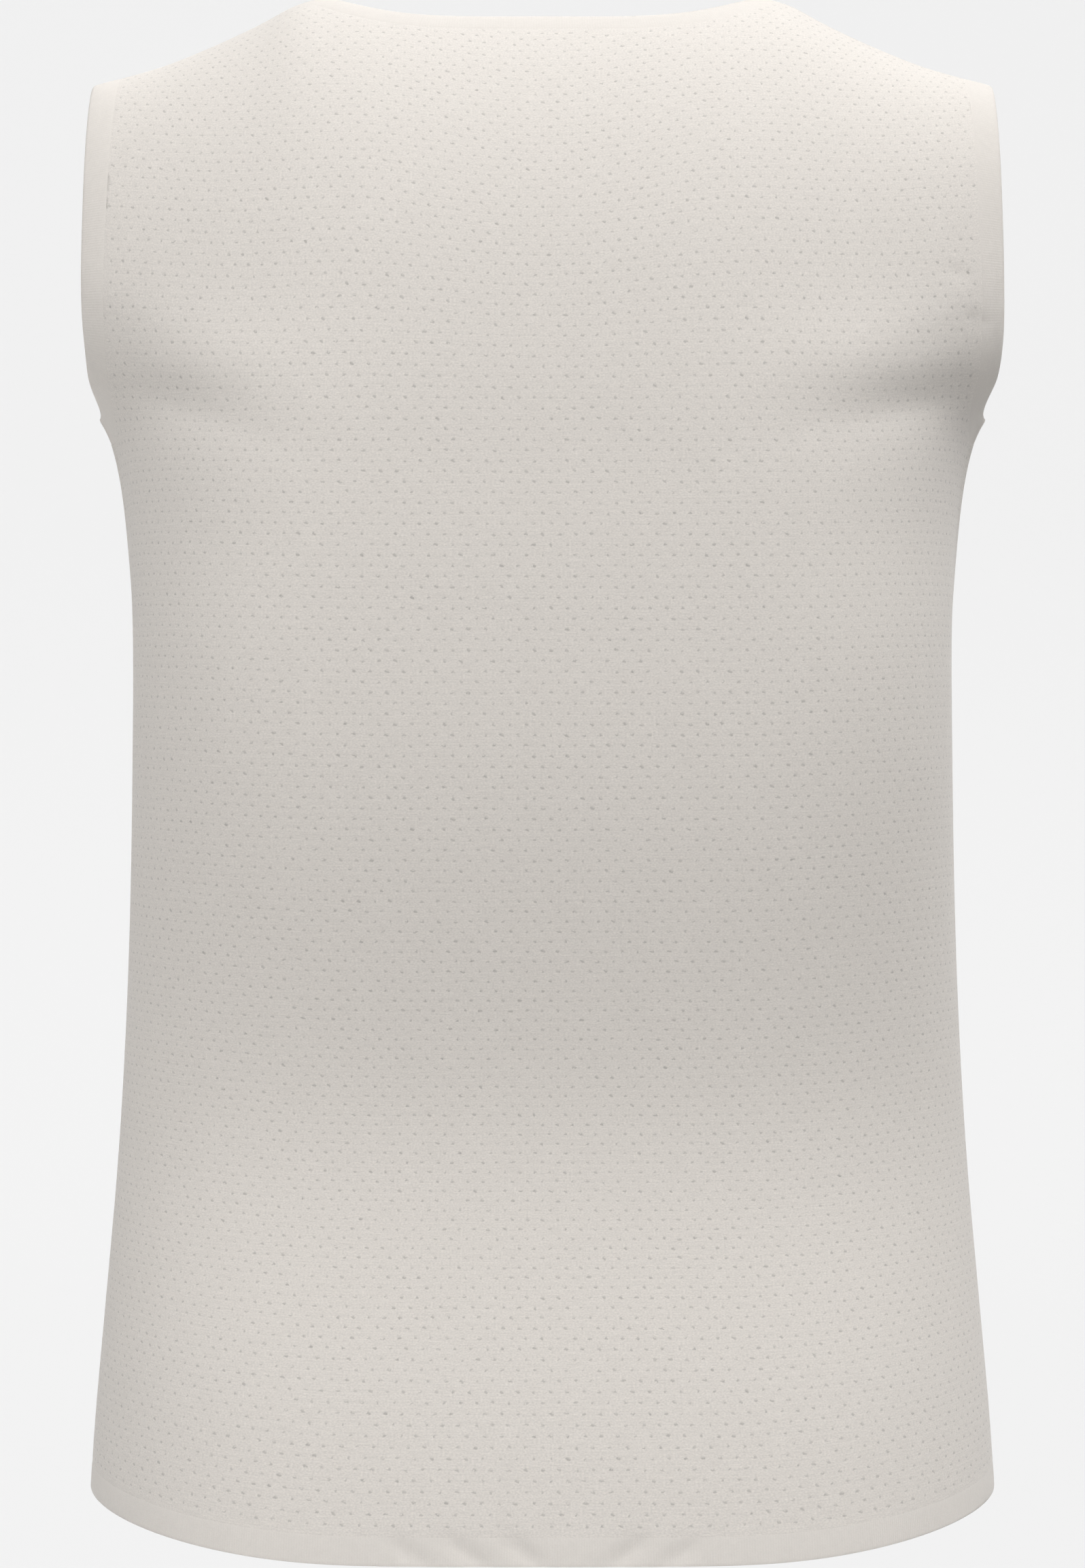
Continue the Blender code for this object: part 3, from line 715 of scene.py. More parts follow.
def knitted_panel(name, face, settings, seed):
    """A panel's cloth: eyelets outside, plain inside, and a rim between them."""
    rng = np.random.default_rng(seed)
    knit = Knit(face)
    cell = (COLUMN_WIDTH, COURSE_HEIGHT)
    outline = panel_outline(face, OUTLINE_SPACING)
    half = np.stack(knit.columns_and_courses(outline[:, 0], outline[:, 1]), -1) * cell
    whole = np.concatenate([half, (half * (-1, 1))[-2:0:-1]])

    middle = lattice(1, knit.top)
    middle += rng.normal(0, 1, middle.shape) * EYELET_STRAY
    middle = kept_inside(middle * cell, whole, EYELET_CLEARANCE)
    count = len(middle)
    strength = np.clip(rng.normal(1.0, STRENGTH_SPREAD, count), *STRENGTH_RANGE)
    lean = rng.normal(0.0, LEAN_SPREAD, count)
    ring = []
    local = []
    for across, up in EYELET_RING:
        across = across * settings.eyelet_width
        up = up * settings.eyelet_height
        moved_across = across * np.cos(lean) - up * np.sin(lean)
        moved_up = across * np.sin(lean) + up * np.cos(lean)
        ring.append(middle + np.stack([moved_across, moved_up], -1))
        local.append(np.column_stack([np.full(count, across), np.full(count, up), strength]))
    between = lattice(0, knit.top)
    between = np.concatenate([between + (0.5, 1 / 3), between + (0.5, -1 / 3)])
    between = kept_inside(between * cell, whole, KNIT_CLEARANCE)

    points = np.concatenate([middle] + ring + [between])
    border = len(whole)
    outer_faces = triangles_within(whole, points)
    pit = settings.eyelet_depth * strength
    height = np.concatenate(
        [
            np.full(border, -settings.seam_dip),
            -pit,
            np.tile(RING_RISE * pit, len(EYELET_RING)),
            rng.normal(0, SURFACE_SPREAD, len(between)),
        ]
    )
    eyelet = np.zeros(border + len(points))
    eyelet[border : border + count] = 1
    centres = np.column_stack([np.zeros((count, 2)), strength])
    local = np.concatenate([np.zeros((border, 3)), centres, *local, np.zeros((len(between), 3))])

    across, up = (
        np.arange(low, high, INSIDE_SPACING) for low, high in zip(whole.min(0), whole.max(0))
    )
    coarse = np.stack(np.meshgrid(across, up), -1).reshape(-1, 2) + INSIDE_OFFSET
    coarse = kept_inside(coarse, whole, INSIDE_CLEARANCE)
    inner_faces = triangles_within(whole, coarse)

    own_border = np.concatenate([outline, outline[-2:0:-1]])
    border_side = np.concatenate([np.ones(len(outline)), -np.ones(len(outline) - 2)])
    border_angle = angle_of(face, own_border[:, 0], own_border[:, 1])
    sides = []
    for plane in (points, coarse):
        station, angle = knit.places(plane[:, 0] / COLUMN_WIDTH, plane[:, 1] / COURSE_HEIGHT)
        station = np.concatenate([own_border[:, 0], station])
        angle = np.concatenate([border_angle, angle])
        side = np.concatenate([border_side, np.where(plane[:, 0] < 0, -1, 1)])[:, None]
        turn_round = np.where(side < 0, np.array([[-1.0, 1.0, 1.0]]), 1.0)
        sides.append((skin(station, angle) * turn_round, normal(station, angle) * turn_round))
    (outer, outer_normal), (inner, inner_normal) = sides
    outer_height = settings.thickness / 2 + height - crease_depth(outer, outer_normal, face)
    inner_height = -settings.thickness / 2 - crease_depth(inner, inner_normal, face)
    inner_height[:border] += settings.seam_dip
    outer = outer + outer_normal * outer_height[:, None]
    inner = inner + inner_normal * inner_height[:, None]

    other = len(outer)
    rim = np.arange(border)
    after = np.roll(rim, -1)
    rim_faces = np.stack([rim + other, after + other, after, rim], -1)
    faces = outer_faces.tolist() + (inner_faces[:, ::-1] + other).tolist() + rim_faces.tolist()
    piece = cloth_mesh(name, np.concatenate([outer, inner]), faces)
    laid = np.concatenate([whole, points, whole, coarse])
    inside = np.concatenate([np.zeros(len(outer)), np.ones(len(inner))])
    point_values(piece, "knit_place", np.column_stack([laid, inside]))
    point_values(piece, "eyelet", np.concatenate([eyelet, np.zeros(len(inner))]))
    point_values(piece, "eyelet_place", np.concatenate([local, np.zeros((len(inner), 3))]))
    cut = (np.ptp(whole[:, 0]), np.ptp(whole[:, 1]))
    return piece, cut, flat_area(whole)


def flat_area(outline):
    """Area inside an outline of the knit's plane."""
    after = np.roll(outline, -1, axis=0)
    return abs(float((outline[:, 0] * after[:, 1] - after[:, 0] * outline[:, 1]).sum())) / 2


def ribbed_ring(name, section, rails, settings, thickness, seed):
    """A ribbed strip round an opening.

    rails holds, for each row of the section, the skin's points round the opening and the
    skin's normals there, and the directions from the seam into the opening.
    """
    rail, rail_normal, towards = rails
    rng = np.random.default_rng(seed)
    rows = len(section)
    middle = rail[rows // 3]
    lengths = lengths_along(np.concatenate([middle, middle[:1]]))
    ribs = round(lengths[-1] / settings.pitch)
    count = ribs * COLUMNS_PER_RIB
    places = np.arange(count) / count * lengths[-1]
    stray = np.append(rng.normal(0, RIB_STRAY, ribs), 0.0)
    wander = np.interp(places, np.linspace(0, lengths[-1], ribs + 1), stray)
    places = places + wander * settings.pitch
    strong = np.repeat(rng.uniform(*RIB_STRENGTH, ribs), COLUMNS_PER_RIB)
    wave = np.cos(np.arange(count) * 2 * math.pi / COLUMNS_PER_RIB) * strong

    def dense(values):
        looped = np.concatenate([values, values[:1]])
        period = lengths[-1]
        return np.stack(
            [np.interp(places % period, lengths, looped[:, k]) for k in range(3)], -1
        )

    reach, height, rib = (column(section, EDGE_COLUMNS, name) for name in EDGE_COLUMNS)
    opening = dense(towards)
    sections = []
    grooves = []
    for row in range(rows):
        base = dense(rail[row])
        outward = unit(dense(rail_normal[row]))
        lean = np.array([1 - abs(height[row]), 0.0]) if reach[row] > 0.9 else np.zeros(2)
        out = outward * np.sign(height[row]) * (1 - lean[0]) + opening * lean[0]
        swell = rib[row] * wave * settings.depth
        depth = np.where(
            base[:, 1] > 0,
            crease_depth(base, outward, BACK),
            crease_depth(base, outward, FRONT),
        )
        place = base + outward * (height[row] * thickness / 2 - depth)[:, None]
        sections.append(place + unit(out) * swell[:, None])
        # How deep in a groove each point lies, for the painted shade in the grooves.
        grooves.append((0.5 - 0.5 * wave) * rib[row])
    points = np.stack(sections, 1)
    index = np.arange(count)[:, None]
    after = (index + 1) % count
    j = np.arange(rows)[None, :]
    k = (j + 1) % rows
    faces = np.stack(
        [index * rows + j, index * rows + k, after * rows + k, after * rows + j], -1
    ).reshape(-1, 4)
    piece = cloth_mesh(name, points.reshape(-1, 3), faces.tolist())
    point_values(piece, "groove", np.stack(grooves, 1).ravel())
    return piece, lengths[-1]


def edge_rails(station, angle, side, width):
    """Rails of a binding, walked into the opening from its seam on the +X half."""
    points = skin(station, angle)
    if side < 0:
        run = np.roll(points, -1, axis=0) - np.roll(points, 1, axis=0)
    else:
        run = np.gradient(points, axis=0)
    outward = normal(station, angle)
    towards = side * unit(np.cross(run, outward))
    rail = []
    rail_normal = []
    for reach in column(BINDING_SECTION, EDGE_COLUMNS, "reach"):
        place = walk(station, angle, towards, reach * width) if reach else (station, angle)
        rail.append(skin(*place))
        rail_normal.append(normal(*place))
    return np.array(rail), np.array(rail_normal), towards


def neck_rails():
    """Rails of the neck binding, all round."""
    back_x, back_station = neck_curve(BACK, np.linspace(0, QUARTER_TURN, 120))
    front_x, front_station = neck_curve(FRONT, np.linspace(QUARTER_TURN, 0, 160)[1:])
    back_angle = angle_of(BACK, back_station, back_x)
    front_angle = math.pi - angle_of(FRONT, front_station, front_x)
    station = np.concatenate([back_station, 4 - front_station])
    angle = np.concatenate([back_angle, front_angle])
    even = at_spacing(np.stack([station, angle], -1), skin(station, angle), RAIL_SPACING)
    even = np.concatenate([even, [[station[-1], angle[-1]]]])
    rail, rail_normal, towards = edge_rails(even[:, 0], even[:, 1], 1, NECK_BINDING_WIDTH)
    for values in (rail, rail_normal):
        values[:, 0, 0] = 0
        values[:, -1, 0] = 0
    towards[0, 0] = 0
    towards[-1, 0] = 0
    return (
        np.concatenate([rail, mirrored(rail[:, -2:0:-1])], 1),
        np.concatenate([rail_normal, mirrored(rail_normal[:, -2:0:-1])], 1),
        np.concatenate([towards, mirrored(towards[-2:0:-1])]),
    )


def armhole_rails():
    """Rails of the left armhole binding, up the back and down the front."""
    up = 1 + np.linspace(0, 1, 300) ** ARMHOLE_EASE
    down = 1 + np.linspace(1, 0, 300) ** ARMHOLE_EASE
    back_angle = angle_of(BACK, up, edge_half_width(up))
    front_angle = math.pi - angle_of(FRONT, down, edge_half_width(down))
    station = np.concatenate([up, 4 - down[1:]])
    angle = np.concatenate([back_angle, front_angle[1:]])
    even = at_spacing(np.stack([station, angle], -1), skin(station, angle), RAIL_SPACING)
    return edge_rails(even[:, 0], even[:, 1], -1, ARMHOLE_BINDING_WIDTH)


def hem_rails():
    """Rails of the hem band, down from its seam all round."""
    angles = np.linspace(0, math.pi, 361)
    rail = []
    rail_normal = []
    reaches = column(HEM_SECTION, EDGE_COLUMNS, "reach")
    for reach in reaches:
        station = np.full(361, HEM_SEAM * (1 - reach))
        points = skin(station, angles)
        outward = normal(station, angles)
        rail.append(np.concatenate([points, mirrored(points[-2:0:-1])]))
        rail_normal.append(np.concatenate([outward, mirrored(outward[-2:0:-1])]))
    rail, rail_normal = np.array(rail), np.array(rail_normal)
    return rail, rail_normal, unit(rail[np.argmax(reaches)] - rail[0])


def node(tree, kind, inputs=None, **settings):
    """A new node with its settings and inputs: sockets are linked and values are set."""
    made = tree.nodes.new(kind)
    for name, value in settings.items():
        setattr(made, name, value)
    for key, value in (inputs or {}).items():
        if isinstance(value, bpy.types.NodeSocket):
            tree.links.new(value, made.inputs[key])
        else:
            made.inputs[key].default_value = value
    return made


def value_of(tree, operation, *values, clamp=False):
    """Output of a math node."""
    made = node(tree, "ShaderNodeMath", dict(enumerate(values)), operation=operation)
    made.use_clamp = clamp
    return made.outputs[0]


def times(tree, *values):
    """Output of a product."""
    product = values[0]
    for value in values[1:]:
        product = value_of(tree, "MULTIPLY", product, value)
    return product


def noise(tree, place, detail):
    """Output of a noise that hovers round a half."""
    inputs = {"Vector": place, "Scale": 1.0, "Detail": detail, "Roughness": 0.5}
    return node(tree, "ShaderNodeTexNoise", inputs).outputs["Fac"]


def vector_of(tree, operation, inputs):
    """Output of a vector math node."""
    return node(tree, "ShaderNodeVectorMath", inputs, operation=operation).outputs[0]


def mixed(tree, amount, first, second, blend="MIX"):
    """Output of a colour mix."""
    inputs = {0: amount, 6: first, 7: second}
    mix = node(tree, "ShaderNodeMix", inputs, data_type="RGBA", blend_type=blend)
    return mix.outputs[2]


def new_group(name, inputs, outputs):
    """A new shader node group, and the outputs of its input node."""
    group = bpy.data.node_groups.new(name, "ShaderNodeTree")
    for direction, sockets in (("INPUT", inputs), ("OUTPUT", outputs)):
        for label, kind in sockets.items():
            group.interface.new_socket(label, in_out=direction, socket_type=kind)
    return group, node(group, "NodeGroupInput").outputs


def yarn_group():
    """Node group of the yarn: fine stitches and the uneven tone of spun yarn."""
    name = "yarn_grain"
    if name in bpy.data.node_groups:
        return bpy.data.node_groups[name]
    group, given = new_group(
        name,
        {"Place": VECTOR, **dict.fromkeys(YARN_SIZES, FLOAT)},
        {"Stitches": FLOAT, "Flecks": FLOAT},
    )
    width, height, fleck = (given[label] for label in YARN_SIZES)
    size = node(group, "ShaderNodeCombineXYZ", {"X": width, "Y": height, "Z": width})
    stitch = vector_of(group, "DIVIDE", {0: given["Place"], 1: size.outputs[0]})
    streaks = noise(group, vector_of(group, "MULTIPLY", {0: stitch, 1: STREAK_SCALE}), 0.0)
    woven = value_of(group, "MULTIPLY_ADD", streaks, STREAK_STRENGTH, noise(group, stitch, 1.0))
    woven = value_of(group, "SUBTRACT", woven, STREAK_STRENGTH / 2)
    shrink = value_of(group, "DIVIDE", 1.0, fleck)
    flecks = noise(group, vector_of(group, "SCALE", {0: given["Place"], "Scale": shrink}), 2.0)
    node(group, "NodeGroupOutput", {"Stitches": woven, "Flecks": flecks})
    return group


def cloth_shader(name, roughness, place, yarn_sizes):
    """A new cloth material, its node tree, its Principled shader and its yarn's outputs."""
    material = bpy.data.materials.new(name)
    material.use_nodes = True
    tree = material.node_tree
    shader = tree.nodes["Principled BSDF"]
    shader.inputs["Roughness"].default_value = roughness
    shader.inputs["Specular IOR Level"].default_value = 0.25
    shader.inputs["Sheen Weight"].default_value = 0.12
    shader.inputs["Sheen Roughness"].default_value = 0.6
    inputs = {"Place": place(tree), **dict(zip(YARN_SIZES, yarn_sizes))}
    yarn = node(tree, "ShaderNodeGroup", inputs, node_tree=yarn_group())
    return material, tree, shader, yarn.outputs


def finish_shader(tree, shader, colour, height, strength, distance):
    """Gives a shader its colour and the bump of a height."""
    inputs = {"Height": height, "Strength": strength, "Distance": distance}
    bump = node(tree, "ShaderNodeBump", inputs)
    tree.links.new(colour, shader.inputs["Base Color"])
    tree.links.new(bump.outputs["Normal"], shader.inputs["Normal"])


def kept_value(tree, name, output="Fac"):
    """Output of a value that a piece keeps for each point."""
    return node(tree, "ShaderNodeAttribute", attribute_name=name).outputs[output]


def opaque(colour):
    """A colour setting, for a colour socket."""
    return tuple(colour) + (1.0,)


def centred(tree, value, amount):
    """A factor near one: how much a value that hovers round a half brightens or darkens."""
    spread = value_of(tree, "SUBTRACT", value, 0.5)
    return value_of(tree, "MULTIPLY_ADD", spread, amount, 1.0)


def tinted(tree, colour, *factors):
    """A colour multiplied by factors."""
    factor = times(tree, *factors)
    grey = node(tree, "ShaderNodeCombineColor", {0: factor, 1: factor, 2: factor})
    return mixed(tree, 1.0, colour, grey.outputs[0], "MULTIPLY")


def eyelet_group():
    """Node group of an eyelet's painted shade: a dark drop, sharp below, that frays out upwards.
    """
    name = "eyelet_mark"
    if name in bpy.data.node_groups:
        return bpy.data.node_groups[name]
    group, given = new_group(
        name, {"Place": VECTOR, "Pit": FLOAT, "Fray": FLOAT}, {"Mark": FLOAT}
    )

    def value(operation, *values, clamp=False):
        return value_of(group, operation, *values, clamp=clamp)

    place = node(group, "ShaderNodeSeparateXYZ", {0: given["Place"]}).outputs
    fray = value("SUBTRACT", given["Fray"], 0.5)
    up = value("MULTIPLY_ADD", place[1], MILLIMETRES, times(group, fray, EYELET_FRAY[1]))
    above = value("MAXIMUM", up, 0.0)
    below = value("MINIMUM", up, 0.0)
    swerve = value("MULTIPLY_ADD", fray, EYELET_FRAY[0], times(group, above, EYELET_TAIL_SWERVE))
    across = value("MULTIPLY_ADD", place[0], MILLIMETRES, swerve)
    squares = [
        value("POWER", value("DIVIDE", part, size), 2.0)
        for part, size in zip((across, above, below), EYELET_CORE)
    ]
    reach = value("ADD", value("ADD", squares[0], squares[1]), squares[2])
    edge = {"Value": reach, "From Min": EYELET_EDGE[0], "From Max": EYELET_EDGE[1]}
    core = node(group, "ShaderNodeMapRange", edge, interpolation_type="SMOOTHSTEP")
    wide = value("MULTIPLY_ADD", above, EYELET_TAIL_SPREAD, EYELET_TAIL_FOOT)
    within = value("SUBTRACT", wide, value("ABSOLUTE", across))
    # The tail's sides and foot are soft, and the painted shade stays within its own pit.
    wedge = value("MULTIPLY", within, 2.2, clamp=True)
    started = value("MULTIPLY", value("ADD", up, 0.1), 5.0, clamp=True)
    fading = value("MULTIPLY_ADD", above, -EYELET_TAIL_FADE, 1.0, clamp=True)
    tail = times(group, wedge, started, fading, EYELET_TAIL)
    drop = value("MAXIMUM", core.outputs["Result"], tail)
    held = value("MULTIPLY", given["Pit"], 4.0, clamp=True)
    node(group, "NodeGroupOutput", {"Mark": times(group, drop, held, place[2])})
    return group


def inside_eyelet_shade(tree, place):
    """The eyelets as faint painted shade on the inside, where the cloth has no pits."""
    parts = node(tree, "ShaderNodeSeparateXYZ", {0: place}).outputs
    course = value_of(tree, "DIVIDE", parts[1], COURSE_HEIGHT)
    whole = value_of(tree, "ROUND", course)
    odd = times(tree, value_of(tree, "FLOORED_MODULO", whole, 2.0), 0.5)
    shifted = value_of(tree, "SUBTRACT", value_of(tree, "DIVIDE", parts[0], COLUMN_WIDTH), odd)
    across = value_of(tree, "SUBTRACT", shifted, value_of(tree, "ROUND", shifted))
    across = times(tree, across, COLUMN_WIDTH / INSIDE_EYELET_SHADE[0])
    up = times(tree, value_of(tree, "SUBTRACT", course, whole), COURSE_HEIGHT / INSIDE_EYELET_SHADE[1])
    far = value_of(tree, "ADD", times(tree, across, across), times(tree, up, up))
    return times(tree, value_of(tree, "SUBTRACT", 1.0, far, clamp=True), parts[2])


def eyelet_knit(settings):
    """Material of the panels: matte knit with painted shade in each eyelet."""
    material, tree, shader, yarn = cloth_shader(
        "eyelet_knit_cloth",
        settings.roughness,
        lambda tree: kept_value(tree, "knit_place", "Vector"),
        KNIT_YARN,
    )
    inputs = {
        "Place": kept_value(tree, "eyelet_place", "Vector"),
        "Pit": kept_value(tree, "eyelet"),
        "Fray": yarn["Flecks"],
    }
    drop = node(tree, "ShaderNodeGroup", inputs, node_tree=eyelet_group()).outputs["Mark"]
    within = inside_eyelet_shade(tree, kept_value(tree, "knit_place", "Vector"))
    eyelet_shading = value_of(tree, "ADD", drop, within)
    # Painted shade in the eyelets, outside and inside, made darker and paler with the yarn's
    # stitches.
    dark = times(tree, eyelet_shading, centred(tree, yarn["Stitches"], 1.6), -settings.eyelet_shade)
    shade = value_of(tree, "ADD", dark, 1.0)
    stitches = centred(tree, yarn["Stitches"], settings.grain)
    flecks = centred(tree, yarn["Flecks"], 0.25 * settings.grain)
    base = mixed(tree, yarn["Flecks"], opaque(settings.colour), opaque(settings.warm_colour))
    colour = tinted(tree, base, shade, stitches, flecks)
    finish_shader(tree, shader, colour, yarn["Stitches"], 0.25, 0.00010)
    return material


def rib_knit(name, settings):
    """Material of a binding: fine rib, with painted shade down in its grooves."""
    material, tree, shader, yarn = cloth_shader(
        name,
        settings.roughness,
        lambda tree: node(tree, "ShaderNodeTexCoord").outputs["Object"],
        RIB_YARN,
    )
    groove = kept_value(tree, "groove")
    # Painted shade down in the rib's grooves.
    shade = value_of(tree, "MULTIPLY_ADD", groove, -settings.groove_shade, 1.0)
    stitches = centred(tree, yarn["Stitches"], settings.grain)
    flecks = centred(tree, yarn["Flecks"], 0.5 * settings.grain)
    colour = tinted(tree, opaque(settings.colour), shade, stitches, flecks)
    finish_shader(tree, shader, colour, yarn["Stitches"], 0.3, 0.00012)
    return material


def number(name, description, default, **kind):
    """A number setting."""
    return bpy.props.FloatProperty(name=name, description=description, default=default, **kind)


def length(name, description, default):
    """A length setting, in metres."""
    return number(name, description, default, unit="LENGTH")


def share(name, description, default):
    """A setting that is a share."""
    return number(name, description, default, subtype="FACTOR")


def tone(name, description, default):
    """A colour setting."""
    return bpy.props.FloatVectorProperty(
        name=name, description=description, default=default, subtype="COLOR"
    )


class SingletKnit(bpy.types.PropertyGroup):
    """Sizes and colours of the eyelet knit."""

    thickness: length("Thickness", "Thickness of the knit", 0.0012)
    eyelet_width: length("Eyelet width", "Width of an eyelet's pit", 0.0034)
    eyelet_height: length("Eyelet height", "Height of an eyelet's pit", 0.0026)
    eyelet_depth: length("Eyelet depth", "Depth of an eyelet's pit", 0.00016)
    seam_dip: length("Seam dip", "How far the cloth turns in at a seam", 0.00006)
    # Strength of the painted shade in the eyelets.
    eyelet_shade: share("Eyelet shade", "How much darker an eyelet is", 0.250)
    grain: share("Grain", "How uneven the yarn's tone is", 0.36)
    roughness: share("Roughness", "Roughness of the knit", 0.92)
    colour: tone("Colour", "Colour of the yarn", (0.700, 0.663, 0.622))
    warm_colour: tone("Warm colour", "The yarn's warmer fibres", (0.702, 0.663, 0.619))


class SingletRib(bpy.types.PropertyGroup):
    """Sizes and colours of the ribbed strips."""

    thickness: length("Binding thickness", "Thickness of a folded binding", 0.0017)
    hem_thickness: length("Hem thickness", "Thickness of the hem band", 0.0015)
    pitch: length("Rib pitch", "Distance between two ribs", 0.00105)
    depth: length("Rib depth", "Half the depth of the ribs", 0.000022)
    # Strength of the painted shade in the rib's grooves.
    groove_shade: share("Groove shade", "How much darker a groove is", 0.018)
    grain: share("Grain", "How uneven the yarn's tone is", 0.10)
    roughness: share("Roughness", "Roughness of the rib", 0.9)
    colour: tone("Colour", "Colour of the rib", (0.710, 0.672, 0.629))


class SingletStage(bpy.types.PropertyGroup):
    """Sizes and brightness of the stage."""

    floor_height: length("Floor height", "Height of the floor", -0.90)
    backdrop: number("Backdrop", "Brightness of the floor and backdrop", 0.900)
    bounce: share("Bounce", "Share of the light that the floor throws back", 0.64)
    overhead: number("Overhead light", "Strength of the large soft overhead light", 3.18)
    rim: number("Rim light", "Strength of the light behind the right side", 2.25)
    ambient: number("Ambient light", "Brightness all round", 0.05)
    distance: length("Camera distance", "Distance of the camera", 1.6)
    lens: number("Lens", "Focal length of the camera in millimetres", 86.1)


class SINGLET_OT_panels(bpy.types.Operator):
    """Knit the back and front panels"""

    bl_idname = "singlet.panels"
    bl_label = "Panels"

    def execute(self, context):
        settings = context.scene.singlet_knit
        material = eyelet_knit(settings)
        for name, node_name, face, seed in (
            ("back_panel_cloth", "back_panel", BACK, 11),
            ("front_panel_cloth", "front_panel", FRONT, 23),
        ):
            piece, cut, area = knitted_panel(name, face, settings, seed)
            piece.data.materials.append(material)
            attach(piece, "root")
            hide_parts(node_name)
        return {"FINISHED"}


def sew_strip(settings, material, replaced, section, rails, thickness, seed):
    """Makes a ribbed strip round an opening, in place of its solid."""
    piece, around = ribbed_ring(replaced + "_rib", section, rails, settings, thickness, seed)
    piece.data.materials.append(material)
    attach(piece, "root")
    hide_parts(replaced)


class SINGLET_OT_neck_binding(bpy.types.Operator):
    """Bind the neck with rib"""

    bl_idname = "singlet.neck_binding"
    bl_label = "Neck binding"

    def execute(self, context):
        settings = context.scene.singlet_rib
        sew_strip(
            settings, rib_knit("neck_rib_cloth", settings), "neck_binding",
            BINDING_SECTION, neck_rails(), settings.thickness, 31,
        )
        return {"FINISHED"}


class SINGLET_OT_armhole_bindings(bpy.types.Operator):
    """Bind both armholes with rib"""

    bl_idname = "singlet.armhole_bindings"
    bl_label = "Armhole bindings"

    def execute(self, context):
        settings = context.scene.singlet_rib
        material = rib_knit("armhole_rib_cloth", settings)
        left = armhole_rails()
        right = [mirrored(values) for values in left]
        for replaced, rails, seed in (
            ("armhole_binding_left", left, 41),
            ("armhole_binding_right", right, 43),
        ):
            sew_strip(
                settings, material, replaced,
                BINDING_SECTION, rails, settings.thickness, seed,
            )
        return {"FINISHED"}


class SINGLET_OT_hem_band(bpy.types.Operator):
    """Sew on the hem band"""

    bl_idname = "singlet.hem_band"
    bl_label = "Hem band"

    def execute(self, context):
        settings = context.scene.singlet_rib
        sew_strip(
            settings, rib_knit("hem_rib_cloth", settings), "hem_band",
            HEM_SECTION, hem_rails(), settings.hem_thickness, 53,
        )
        return {"FINISHED"}


def sweep_mesh(floor_height):
    """A round floor that curves up into a backdrop all round."""
    profile = [(radius, floor_height) for radius in (0.0, SWEEP_RADIUS / 2, SWEEP_RADIUS)]
    for turn in np.linspace(0, QUARTER_TURN, 9)[1:]:
        out, up = SWEEP_BEND * math.sin(turn), SWEEP_BEND * (1 - math.cos(turn))
        profile.append((SWEEP_RADIUS + out, floor_height + up))
    profile.append((SWEEP_RADIUS + SWEEP_BEND, floor_height + SWEEP_HEIGHT))
    points = []
    faces = []
    for row, (radius, height) in enumerate(profile):
        for i in range(SWEEP_SIDES):
            turn = 2 * math.pi * i / SWEEP_SIDES
            points.append((radius * math.cos(turn), radius * math.sin(turn), height))
            if row:
                low, high = (row - 1) * SWEEP_SIDES, row * SWEEP_SIDES
                k = (i + 1) % SWEEP_SIDES
                faces.append((low + i, low + k, high + k, high + i))
    mesh = bpy.data.meshes.new("studio_sweep")
    mesh.from_pydata(points, [], faces)
    mesh.shade_smooth()
    return mesh


def sweep_material(settings):
    """Pale paper: the camera sees it evenly lit, with a little of the light that falls on it."""
    material = bpy.data.materials.new("studio_paper")
    material.use_nodes = True
    tree = material.node_tree
    tree.nodes.clear()
    paper = node(tree, "ShaderNodeBsdfDiffuse", {"Color": opaque([settings.bounce] * 3)})
    glow = node(
        tree, "ShaderNodeEmission", {"Color": opaque([settings.backdrop] * 3), "Strength": 1.0}
    )
    seen = times(tree, node(tree, "ShaderNodeLightPath").outputs["Is Camera Ray"], 0.9)
    both = node(tree, "ShaderNodeMixShader", {0: seen, 1: paper.outputs[0], 2: glow.outputs[0]})
    node(tree, "ShaderNodeOutputMaterial", {"Surface": both.outputs[0]})
    return material


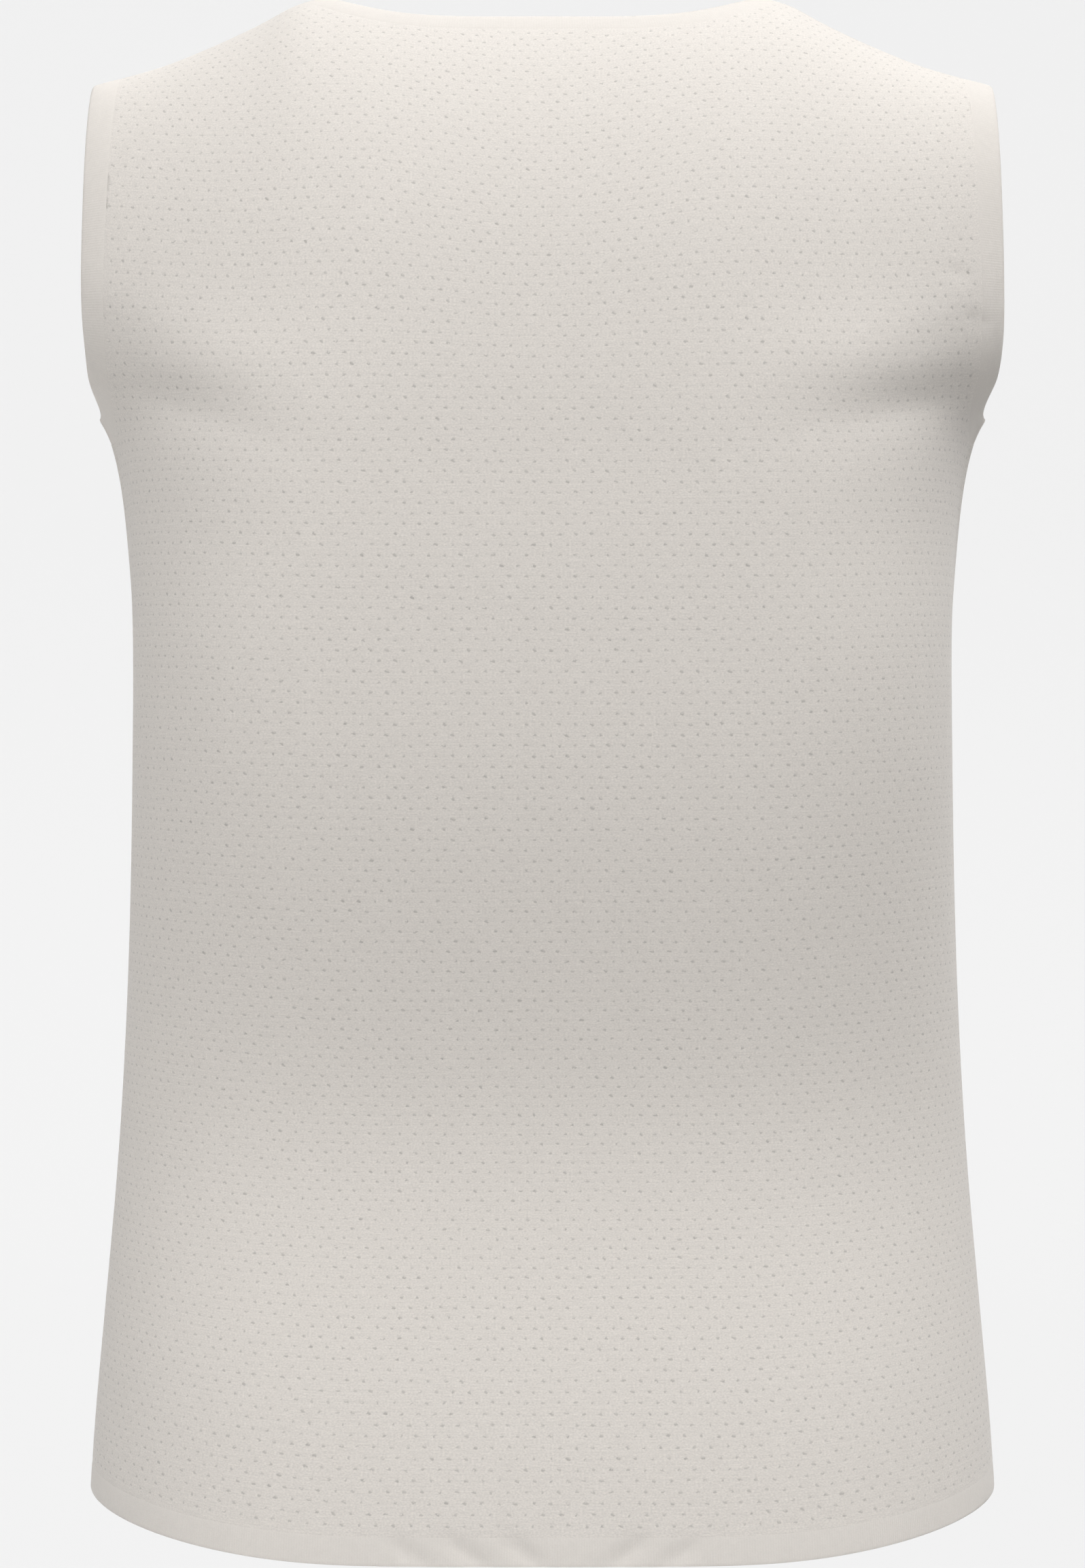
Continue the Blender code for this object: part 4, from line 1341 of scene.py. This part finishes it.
class SINGLET_OT_stage(bpy.types.Operator):
    """Set up the floor, the light and the camera"""

    bl_idname = "singlet.stage"
    bl_label = "Stage"

    def execute(self, context):
        settings = context.scene.singlet_stage
        sweep = bpy.data.objects.new("studio_sweep", sweep_mesh(settings.floor_height))
        sweep.data.materials.append(sweep_material(settings))
        context.collection.objects.link(sweep)
        for name, around, up, strength in LIGHTS:
            light = bpy.data.lights.new(name, "SUN")
            light.angle = LIGHT_SOFTNESS
            light.energy = getattr(settings, strength)
            lamp = bpy.data.objects.new(name, light)
            around, up = math.radians(around), math.radians(up)
            level = math.cos(up)
            place = (math.sin(around) * level, math.cos(around) * level, math.sin(up))
            lamp.location = Vector(place) * LIGHT_DISTANCE
            lamp.rotation_euler = (-lamp.location).to_track_quat("-Z", "Y").to_euler()
            context.collection.objects.link(lamp)
        world = bpy.data.worlds.new("studio_world")
        world.use_nodes = True
        background = world.node_tree.nodes["Background"]
        background.inputs["Color"].default_value = opaque([settings.ambient] * 3)
        context.scene.world = world
        lens = bpy.data.cameras.new("photo_camera")
        lens.sensor_width = SENSOR_WIDTH
        lens.lens = settings.lens
        camera = bpy.data.objects.new("photo_camera", lens)
        camera.location = (0.0, settings.distance, CAMERA_HEIGHT)
        camera.rotation_euler = (QUARTER_TURN, 0.0, math.pi)
        context.collection.objects.link(camera)
        context.scene.camera = camera
        context.scene.view_settings.view_transform = "Standard"
        return {"FINISHED"}


class SINGLET_PT_maker(bpy.types.Panel):
    """Lists the singlet's sizes and makers"""

    bl_idname = "SINGLET_PT_maker"
    bl_label = "Singlet"
    bl_space_type = "VIEW_3D"
    bl_region_type = "UI"
    bl_category = "Singlet"

    def draw(self, context):
        layout = self.layout
        scene = context.scene
        for label, settings in (
            ("Knit", scene.singlet_knit),
            ("Rib", scene.singlet_rib),
            ("Stage", scene.singlet_stage),
        ):
            layout.label(text=label)
            for name in type(settings).__annotations__:
                layout.prop(settings, name)
        for operator in OPERATORS:
            layout.operator(operator.bl_idname)


OPERATORS = (
    SINGLET_OT_panels,
    SINGLET_OT_neck_binding,
    SINGLET_OT_armhole_bindings,
    SINGLET_OT_hem_band,
    SINGLET_OT_stage,
)
SETTINGS = (
    ("singlet_knit", SingletKnit),
    ("singlet_rib", SingletRib),
    ("singlet_stage", SingletStage),
)


def register():
    for name, group in SETTINGS:
        bpy.utils.register_class(group)
        setattr(bpy.types.Scene, name, bpy.props.PointerProperty(type=group))
    for operator in OPERATORS:
        bpy.utils.register_class(operator)
    bpy.utils.register_class(SINGLET_PT_maker)


def unregister():
    bpy.utils.unregister_class(SINGLET_PT_maker)
    for operator in reversed(OPERATORS):
        bpy.utils.unregister_class(operator)
    for name, group in reversed(SETTINGS):
        delattr(bpy.types.Scene, name)
        bpy.utils.unregister_class(group)


def main():
    """Makes every piece and the stage."""
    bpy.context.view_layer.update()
    register()
    bpy.ops.singlet.panels()
    bpy.ops.singlet.neck_binding()
    bpy.ops.singlet.armhole_bindings()
    bpy.ops.singlet.hem_band()
    bpy.ops.singlet.stage()


if __name__ == "__main__":
    main()
